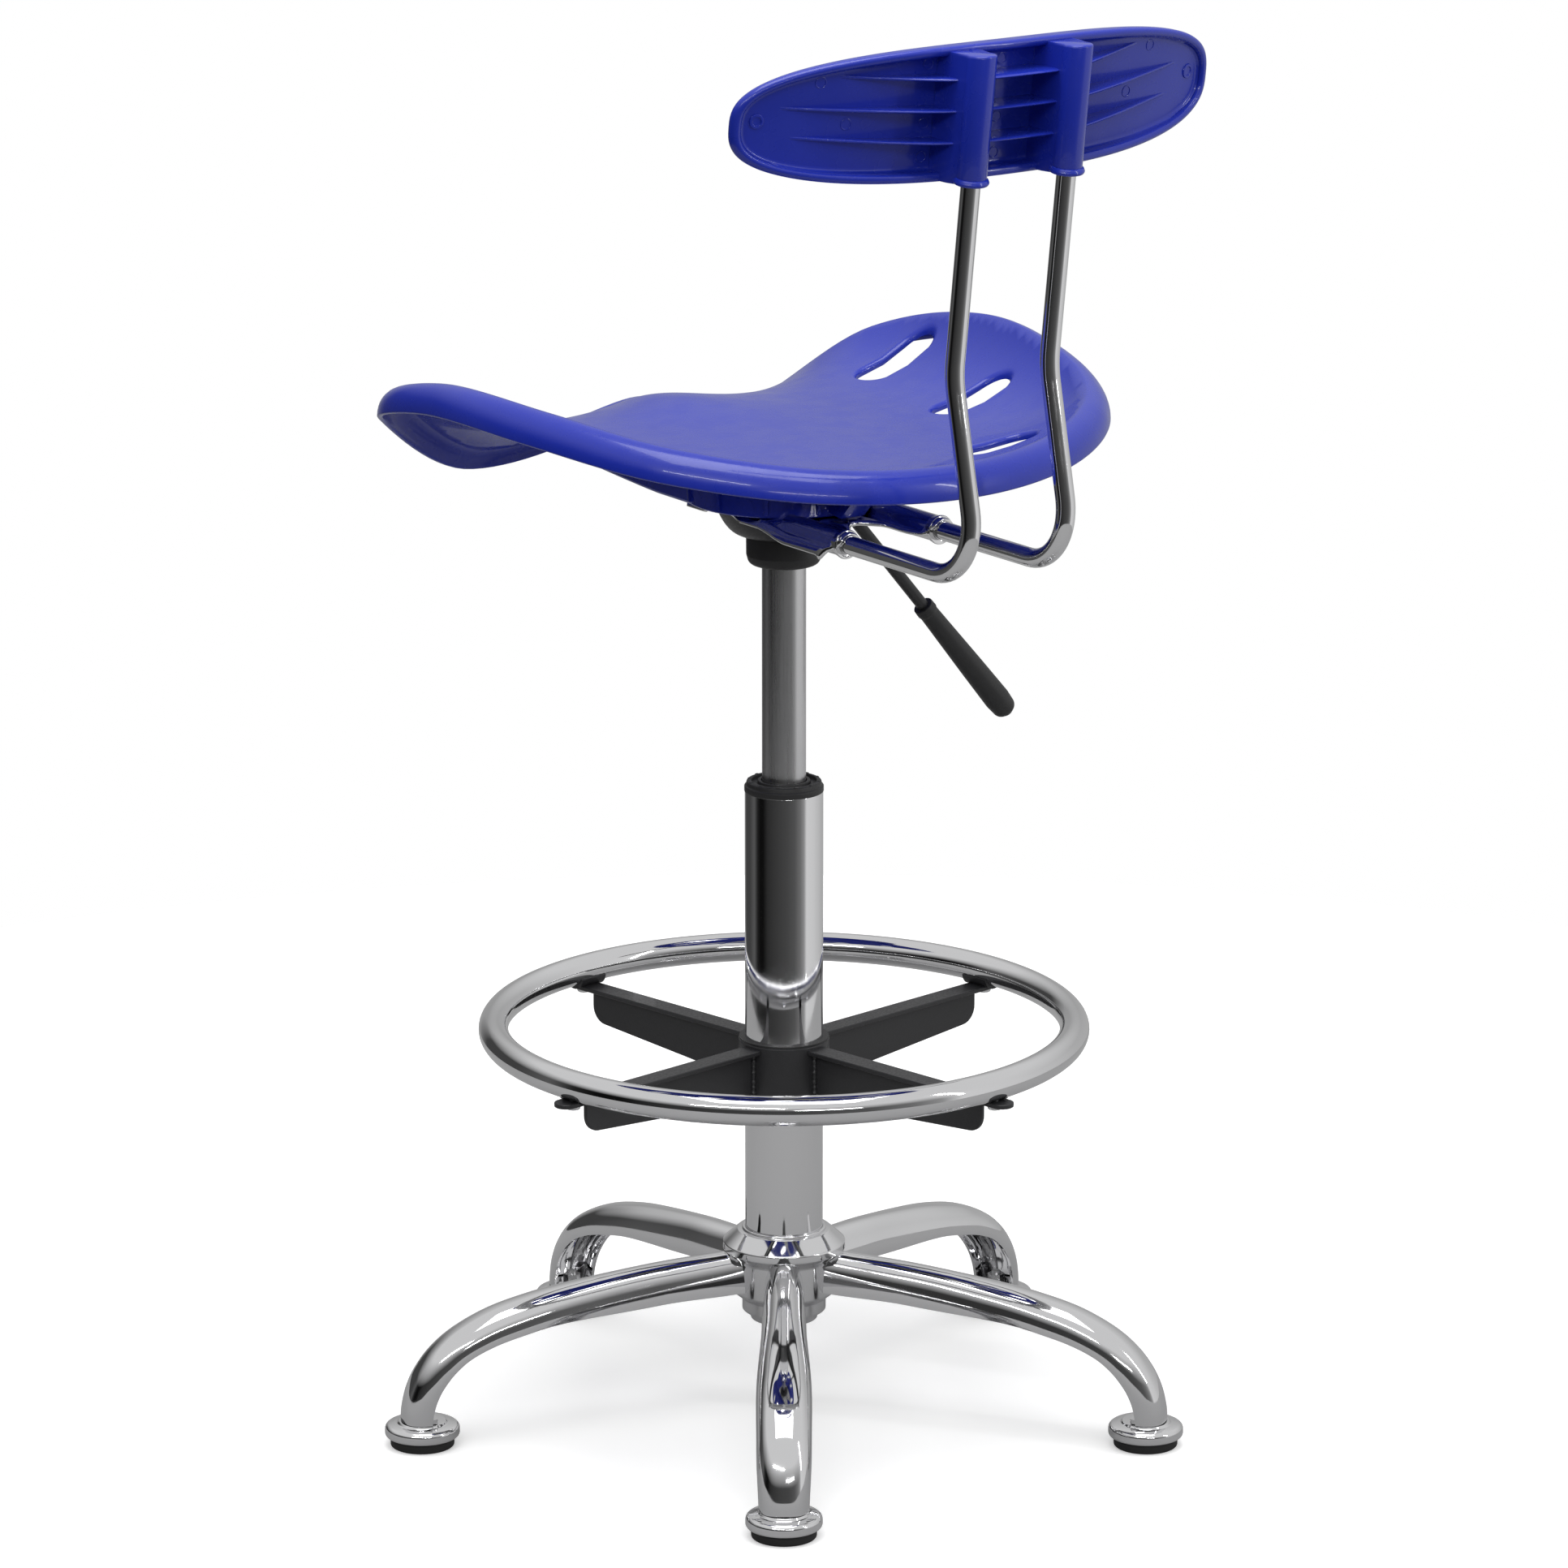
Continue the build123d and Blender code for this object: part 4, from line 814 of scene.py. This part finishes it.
def on_back(mesh, x, up):
    """Places a small turned mesh on the shell's rear face."""
    slope = x / sqrt(BACK_BOW ** 2 - x ** 2)
    outward = Vector((slope, 1, -LEAN)).normalized()
    spot = Matrix.Translation((x, back_face(x, up) + BACK_SKIN, BACK_MIDDLE + up))
    return moved(mesh, spot @ outward.to_track_quat("Z", "Y").to_matrix().to_4x4())


MARKS = [(0.0, 29.0), (0.0, -6.5), (0.0, -28.5)]
for side in (-1, 1):
    MARKS += [(side * 52.0, 30.0), (side * 52.0, -6.0), (side * 52.0, -26.5), (side * 104.0, -2.5)]
    MARKS.append((side * 122.0, 24.0))
mark = lathe_mesh(rounded([
    (2.9, -0.5, 0), (2.95, 0.22, 0.1), (3.3, 0.34, 0.1), (3.65, 0.22, 0.1), (3.7, -0.5, 0),
], False, 3), 40)
dimple = lathe_mesh(rounded([
    (0.0, 0.12, 0), (2.6, 0.12, 0.2), (3.0, 0.9, 0.3), (4.4, 0.8, 0.3), (4.8, -0.6, 0),
    (0.0, -0.6, 0),
], False, 3), 40)
marks = [on_back(mark, x, up) for x, up in MARKS]
marks += [on_back(dimple, side * 160.0, 3.0) for side in (-1, 1)]
build("backrest_marks", *joined(*marks), BLUE, "seat", sharp=50)


# ------------------------------------------------------------------ seat
def rim_at(angle, column):
    """Smooth value of a rim station's column at an angle from the rear, either side."""
    angle = abs((angle + 180) % 360 - 180)
    stations = [(-SEAT_RIM[1][0], *SEAT_RIM[1][1:])] + SEAT_RIM
    stations = stations + [(360 - SEAT_RIM[-2][0], *SEAT_RIM[-2][1:])]
    place = max(i for i in range(1, len(SEAT_RIM)) if stations[i][0] <= angle)
    before, low, high, after = stations[place - 1 : place + 3]
    span = high[0] - low[0]
    share = (angle - low[0]) / span
    low_slope = (high[column] - before[column]) / (high[0] - before[0]) * span
    high_slope = (after[column] - low[column]) / (after[0] - low[0]) * span
    return (
        (2 * share**3 - 3 * share**2 + 1) * low[column]
        + (share**3 - 2 * share**2 + share) * low_slope
        + (3 * share**2 - 2 * share**3) * high[column]
        + (share**3 - share**2) * high_slope
    )


RIM_SAMPLES = 720
RIM_TABLE = [
    (rim_at(k * 360 / RIM_SAMPLES, 1), rim_at(k * 360 / RIM_SAMPLES, 2)) for k in range(RIM_SAMPLES)
]


def rim_values(x, y):
    """The rim's reach and crest height in the direction of a place, from the table."""
    turn = (atan2(x, y - SEAT_Y) / (2 * pi) * RIM_SAMPLES) % RIM_SAMPLES
    low = int(turn)
    share = turn - low
    a, b = RIM_TABLE[low % RIM_SAMPLES], RIM_TABLE[(low + 1) % RIM_SAMPLES]
    return a[0] + (b[0] - a[0]) * share, a[1] + (b[1] - a[1]) * share


def dish_height(x, y):
    """The seat's top face, without its slots' rolled edges."""
    reach, crest = rim_values(x, y)
    share = min(1.0, hypot(x, y - SEAT_Y) / (reach - SEAT_ROLL))
    hump = HUMP_RISE * exp(-((x / HUMP_WIDTH) ** 2) - ((y - HUMP_Y) / HUMP_LENGTH) ** 2)
    return SEAT_BASE + (crest - SEAT_BASE) * share**SEAT_POWER + hump


slot_centres = [(side * x, y) for x, y in SLOTS for side in (-1, 1)]
SLOT_RADIUS, SLOT_HALF = SLOT_WIDTH / 2, (SLOT_LENGTH - SLOT_WIDTH) / 2


def slot_distance(x, y):
    """Signed distance to the nearest slot's edge, positive outside it."""
    best = 1e9
    for cx, cy in slot_centres:
        along = max(0.0, abs(x - cx) - SLOT_HALF)
        best = min(best, hypot(along, y - cy) - SLOT_RADIUS)
    return best


def slot_outline(centre, grow, count=64):
    """A slot's outline, grown by a distance."""
    radius = SLOT_RADIUS + grow
    points = []
    for k in range(count):
        turn = 2 * pi * k / count
        along = radius * cos(turn) + SLOT_HALF * sign(cos(turn))
        if abs(cos(turn)) < 1e-9:
            along = 0.0
        points.append((centre[0] + along, centre[1] + radius * sin(turn)))
    return points


ROLL_IN = 3.2   # radius of the slots' edges


def top_height(x, y):
    """The seat's top face with the slots' rolled edges."""
    z = dish_height(x, y)
    gap = slot_distance(x, y)
    if gap < ROLL_IN:
        gap = max(0.0, gap)
        z -= ROLL_IN - sqrt(max(0.0, ROLL_IN**2 - (ROLL_IN - gap) ** 2))
    return z


RIM_POINTS = 240
crest_loop = []
for k in range(RIM_POINTS):
    angle = 2 * pi * k / RIM_POINTS
    reach = rim_at(k * 360 / RIM_POINTS, 1) - SEAT_ROLL
    crest_loop.append((reach * sin(angle), SEAT_Y + reach * cos(angle)))

flat_points = list(crest_loop)
flat_edges = [(k, (k + 1) % RIM_POINTS) for k in range(RIM_POINTS)]
for centre in slot_centres:
    for grow in (0.0, 0.12, 0.45, 0.95, 1.6, 2.4, 3.2, 4.2):
        start = len(flat_points)
        outline = slot_outline(centre, grow)
        flat_points += outline
        flat_edges += [(start + k, start + (k + 1) % len(outline)) for k in range(len(outline))]
PITCH = 4.5
# A triangular grid of points between them
row = 0
y = -250.0
while y < 215.0:
    x = -270.0 + (PITCH / 2 if row % 2 else 0.0)
    while x < 270.0:
        reach, _ = rim_values(x, y)
        if hypot(x, y - SEAT_Y) < reach - SEAT_ROLL - 2.5 and slot_distance(x, y) > ROLL_IN + 2.0:
            flat_points.append((x, y))
        x += PITCH
    y += PITCH * 0.866
    row += 1
flat = delaunay_2d_cdt([Vector(p) for p in flat_points], flat_edges, [], 1, 1e-5)
flat_verts, flat_faces, flat_sources = flat[0], flat[2], flat[3]
kept_faces = []
for face in flat_faces:
    mx = sum(flat_verts[i].x for i in face) / len(face)
    my = sum(flat_verts[i].y for i in face) / len(face)
    if slot_distance(mx, my) > 0:
        kept_faces.append(list(face))
top_verts = [(v.x, v.y, top_height(v.x, v.y)) for v in flat_verts]
under_verts = [(v.x, v.y, dish_height(v.x, v.y) - SEAT_WALL - 0.6) for v in flat_verts]
seat_verts = top_verts + under_verts
shift = len(top_verts)
seat_faces = kept_faces + [[i + shift for i in reversed(face)] for face in kept_faces]
edge_count = {}
for face in kept_faces:
    for a, b in zip(face, face[1:] + face[:1]):
        key = (min(a, b), max(a, b))
        edge_count[key] = edge_count.get(key, 0) + 1
border = [key for key, times in edge_count.items() if times == 1]
for a, b in border:
    va, vb = flat_verts[a], flat_verts[b]
    if slot_distance((va.x + vb.x) / 2, (va.y + vb.y) / 2) < 1.0:
        seat_faces.append([a, b, b + shift, a + shift])
origin_of = {}
for index, sources in enumerate(flat_sources):
    for source in sources:
        if source < RIM_POINTS:
            origin_of[source] = index


def roll_row(turn, sink):
    """A loop of the rolled rim at a turn in degrees, sunk below its outer face."""
    row_points = []
    for k in range(RIM_POINTS):
        angle = 2 * pi * k / RIM_POINTS
        reach = rim_at(k * 360 / RIM_POINTS, 1) - SEAT_ROLL
        x, y = reach * sin(angle), SEAT_Y + reach * cos(angle)
        crest = dish_height(x, y)
        out = (SEAT_ROLL - sink) * sin(radians(turn))
        z = crest - sink - (SEAT_DROP - sink) * (1 - cos(radians(turn)))
        row_points.append(((reach + out) * sin(angle), SEAT_Y + (reach + out) * cos(angle), z))
    return row_points


outer_rows = [roll_row(turn, 0.0) for turn in range(8, 89, 8)]
lip = roll_row(90, 0.0)
inner_lip = roll_row(90, SEAT_WALL)
outer_rows.append(lip)
LIP_STEPS, LIP_DROP = 6, 1.2
for step in range(1, LIP_STEPS):
    c, fall = cos(pi * step / LIP_STEPS), LIP_DROP * sin(pi * step / LIP_STEPS)
    outer_rows.append([
        ((ox + ix) / 2 + (ox - ix) / 2 * c, (oy + iy) / 2 + (oy - iy) / 2 * c, oz - fall)
        for (ox, oy, oz), (ix, iy, _) in zip(lip, inner_lip)
    ])
outer_rows += [roll_row(turn, SEAT_WALL) for turn in range(90, 7, -8)]
previous = [origin_of[k] for k in range(RIM_POINTS)]
for row_points in outer_rows:
    start = len(seat_verts)
    seat_verts += row_points
    current = list(range(start, start + RIM_POINTS))
    for k in range(RIM_POINTS):
        n = (k + 1) % RIM_POINTS
        seat_faces.append([previous[k], previous[n], current[n], current[k]])
    previous = current
for k in range(RIM_POINTS):
    n = (k + 1) % RIM_POINTS
    seat_faces.append([previous[k], previous[n], origin_of[n] + shift, origin_of[k] + shift])
build("seat", seat_verts, seat_faces, BLUE, "seat", ["seat_shell"], 60)

# Moulded skirt and ribs under the dish
SKIRT_RADIUS, SKIRT_TOP, SKIRT_STEPS = 62.0, 639.0, 96
# The skirt's section: (out from its radius, height)
SKIRT_SECTION = [
    (1.5, SKIRT_TOP), (0.0, PLATE_TOP + 0.8), (-0.8, PLATE_TOP), (-2.2, PLATE_TOP),
    (-3.0, PLATE_TOP + 0.8), (-3.4, SKIRT_TOP),
]
skirt_rows = []
for k in range(SKIRT_STEPS):
    angle = 2 * pi * k / SKIRT_STEPS
    x, y = SKIRT_RADIUS * cos(angle), SKIRT_RADIUS * sin(angle)
    skirt_rows.append([(x + off * cos(angle), y + off * sin(angle), z) for off, z in SKIRT_SECTION])
skirt_meshes = [strips(skirt_rows, closed_rows=True)]
fin = prism_mesh([
    (SKIRT_RADIUS - 1.0, PLATE_TOP + 1.5), (SKIRT_RADIUS + 1.9, PLATE_TOP + 2.5),
    (SKIRT_RADIUS + 4.6, SKIRT_TOP), (SKIRT_RADIUS - 1.0, SKIRT_TOP),
], -1.1, 1.1, stand)
skirt_meshes += [moved(fin, turned(15 + 30 * k)) for k in range(12)]
web = prism_mesh([
    (14.0, PLATE_TOP + 0.6), (SKIRT_RADIUS - 2.0, PLATE_TOP + 0.6),
    (SKIRT_RADIUS - 2.0, SKIRT_TOP), (14.0, SKIRT_TOP),
], -1.4, 1.4, stand)
skirt_meshes += [moved(web, turned(45 * k)) for k in range(8)]
SCREW_OFFSET = 38.0
boss = lathe_mesh([
    (2.6, PLATE_TOP + 0.2), (6.5, PLATE_TOP + 0.2), (7.2, SKIRT_TOP), (2.6, SKIRT_TOP),
], 32)
for sx in (-1, 1):
    for sy in (-1, 1):
        place = Matrix.Translation((sx * SCREW_OFFSET, sy * SCREW_OFFSET, 0))
        skirt_meshes.append(moved(boss, place))
gusset = prism_mesh([
    (60.0, PLATE_TOP + 3.0), (74.0, PLATE_TOP + 1.0), (104.0, 634.0), (60.0, SKIRT_TOP),
], -9.0, 9.0, stand)
skirt_meshes.append(moved(gusset, turned(90)))
build("seat_skirt", *joined(*skirt_meshes), BLUE, "seat", sharp=35)

# The keel that runs forward under the hump
KEEL_STEPS, KEEL_START, KEEL_LENGTH = 30, -8.0, 155.0
keel_side = [(-1, 0.0, 1.0), (-1, 0.0, 0.5), (-1, 0.3, 0.06), (-1, 0.8, 0.02), (-1, 2.0, 0.0)]
keel_side.append((-1, 12.0, 0.0))
keel_section = keel_side + [(0, 0.0, 0.0)] + [(1, inset, up) for _, inset, up in keel_side[::-1]]
keel_rows = []
for i in range(KEEL_STEPS + 1):
    share = i / KEEL_STEPS
    y = KEEL_START - KEEL_LENGTH * share
    half = 61.0 - 3.0 * share
    floor = PLATE_TOP + 0.2 + 6.5 * max(0.0, (share - 0.3) / 0.7) ** 1.2
    floor += 16.0 * max(0.0, (share - 0.9) / 0.1) ** 1.5
    row_points = []
    for side, inset, up in keel_section:
        x = side * (half - inset)
        roof = dish_height(x, y) - SEAT_WALL + 0.6
        row_points.append((x, y, floor + max(0.0, roof - floor) * up))
    keel_rows.append(row_points)
keel = strips(keel_rows, closed_row=False)
build("seat_keel", *keel, BLUE, "seat", sharp=60, recalc=False)

# ------------------------------------------------------------------ floor and light
FLOOR_RADIUS, FLOOR_SIDES = 1.3, 128
floor_mesh = bpy.data.meshes.new("floor")
floor_turns = [2 * pi * k / FLOOR_SIDES for k in range(FLOOR_SIDES)]
floor_edge = [(FLOOR_RADIUS * cos(turn), FLOOR_RADIUS * sin(turn), 0) for turn in floor_turns]
floor_mesh.from_pydata(floor_edge, [], [list(range(FLOOR_SIDES))])
floor = bpy.data.objects.new("floor", floor_mesh)
bpy.context.collection.objects.link(floor)
floor_material, floor_tree, floor_shader = new_material("floor_paint", (0.93, 0.93, 0.93), 0.0, 0.6)
tint(floor_tree, floor_shader, noise(floor_tree, 2.0), (0.925, 0.925, 0.925), (0.935, 0.935, 0.935))
# The floor is pale to the camera and dimmer in the chrome's reflections
floor_rays = floor_tree.nodes.new("ShaderNodeLightPath")
floor_shader.inputs["Emission Color"].default_value = (1, 1, 1, 1)
floor_shader.inputs["Emission Strength"].default_value = 0.32
dim = floor_tree.nodes.new("ShaderNodeBsdfDiffuse")
dim.inputs["Color"].default_value = (0.36, 0.36, 0.36, 1)
floor_mix = floor_tree.nodes.new("ShaderNodeMixShader")
floor_tree.links.new(floor_rays.outputs["Is Camera Ray"], floor_mix.inputs["Fac"])
floor_tree.links.new(dim.outputs["BSDF"], floor_mix.inputs[1])
floor_tree.links.new(floor_shader.outputs["BSDF"], floor_mix.inputs[2])
floor_out = floor_tree.nodes["Material Output"]
floor_tree.links.new(floor_mix.outputs["Shader"], floor_out.inputs["Surface"])
floor_mesh.materials.append(floor_material)

world = bpy.data.worlds.new("studio")
bpy.context.scene.world = world
world.use_nodes = True
sky = world.node_tree
sky.nodes.clear()
sky_out = sky.nodes.new("ShaderNodeOutputWorld")
lit = sky.nodes.new("ShaderNodeBackground")
seen = sky.nodes.new("ShaderNodeBackground")
mixed = sky.nodes.new("ShaderNodeMixShader")
rays = sky.nodes.new("ShaderNodeLightPath")
coords = sky.nodes.new("ShaderNodeTexCoord")
split = sky.nodes.new("ShaderNodeSeparateXYZ")
around = sky.nodes.new("ShaderNodeMath")
around.operation = "ARCTAN2"
turn_share = sky.nodes.new("ShaderNodeMapRange")
turn_share.inputs["From Min"].default_value = -pi
turn_share.inputs["From Max"].default_value = pi
bands = sky.nodes.new("ShaderNodeValToRGB")
height_ramp = sky.nodes.new("ShaderNodeValToRGB")
blend = sky.nodes.new("ShaderNodeMix")
blend.data_type = "RGBA"
sky.links.new(coords.outputs["Generated"], split.inputs["Vector"])
sky.links.new(split.outputs["Y"], around.inputs[0])
sky.links.new(split.outputs["X"], around.inputs[1])
sky.links.new(around.outputs["Value"], turn_share.inputs["Value"])
sky.links.new(turn_share.outputs["Result"], bands.inputs["Fac"])
# Bands of light and dark round the room, as a share of a full turn from -X through -Y
BANDS = [
    (0.0, 0.58), (0.04, 0.50), (0.10, 0.45), (0.20, 0.35), (0.25, 0.06), (0.33, 0.06),
    (0.385, 0.11), (0.42, 0.02), (0.45, 0.005), (0.48, 0.006), (0.52, 0.03), (0.60, 0.05),
    (0.68, 0.07), (0.74, 0.10), (0.79, 0.19), (0.82, 0.32), (0.845, 0.75), (0.92, 0.70),
    (0.97, 0.62), (1.0, 0.58),
]
ramp = bands.color_ramp
ramp.interpolation = "LINEAR"
while len(ramp.elements) > 1:
    ramp.elements.remove(ramp.elements[-1])
ramp.elements[0].position = BANDS[0][0]
ramp.elements[0].color = (BANDS[0][1],) * 3 + (1,)
for position, value in BANDS[1:]:
    element = ramp.elements.new(position)
    element.color = (value,) * 3 + (1,)
sky.links.new(split.outputs["Z"], height_ramp.inputs["Fac"])
rise = height_ramp.color_ramp
rise.elements[0].position = 0.22
rise.elements[0].color = (0, 0, 0, 1)
rise.elements[1].position = 0.60
rise.elements[1].color = (1, 1, 1, 1)
sky.links.new(height_ramp.outputs["Color"], blend.inputs[0])
sky.links.new(bands.outputs["Color"], blend.inputs[6])
blend.inputs[7].default_value = (0.72, 0.72, 0.72, 1)
sky.links.new(blend.outputs[2], lit.inputs["Color"])
lit.inputs["Strength"].default_value = 1.0
seen.inputs["Color"].default_value = (1, 1, 1, 1)
seen.inputs["Strength"].default_value = 1.0
sky.links.new(rays.outputs["Is Camera Ray"], mixed.inputs["Fac"])
sky.links.new(lit.outputs["Background"], mixed.inputs[1])
sky.links.new(seen.outputs["Background"], mixed.inputs[2])
sky.links.new(mixed.outputs["Shader"], sky_out.inputs["Surface"])


def area_light(name, place, size, power, target=(0, 0, 0.5)):
    data = bpy.data.lights.new(name, "AREA")
    data.shape = "RECTANGLE"
    data.size, data.size_y = size
    data.energy = power
    light = bpy.data.objects.new(name, data)
    light.location = place
    aim_at = Vector(target) - Vector(place)
    light.rotation_euler = aim_at.to_track_quat("-Z", "Y").to_euler()
    bpy.context.collection.objects.link(light)


area_light("top_light", (0.2, 0.3, 3.2), (2.0, 2.0), 50)
area_light("camera_left_strip", (2.9, 2.2, 2.5), (2.4, 0.12), 24)
area_light("camera_right_strip", (-1.9, 2.9, 2.1), (0.14, 2.0), 16)
area_light("rear_strip", (1.2, 3.6, 1.5), (1.6, 0.08), 10)
bpy.context.scene.view_settings.view_transform = "Standard"
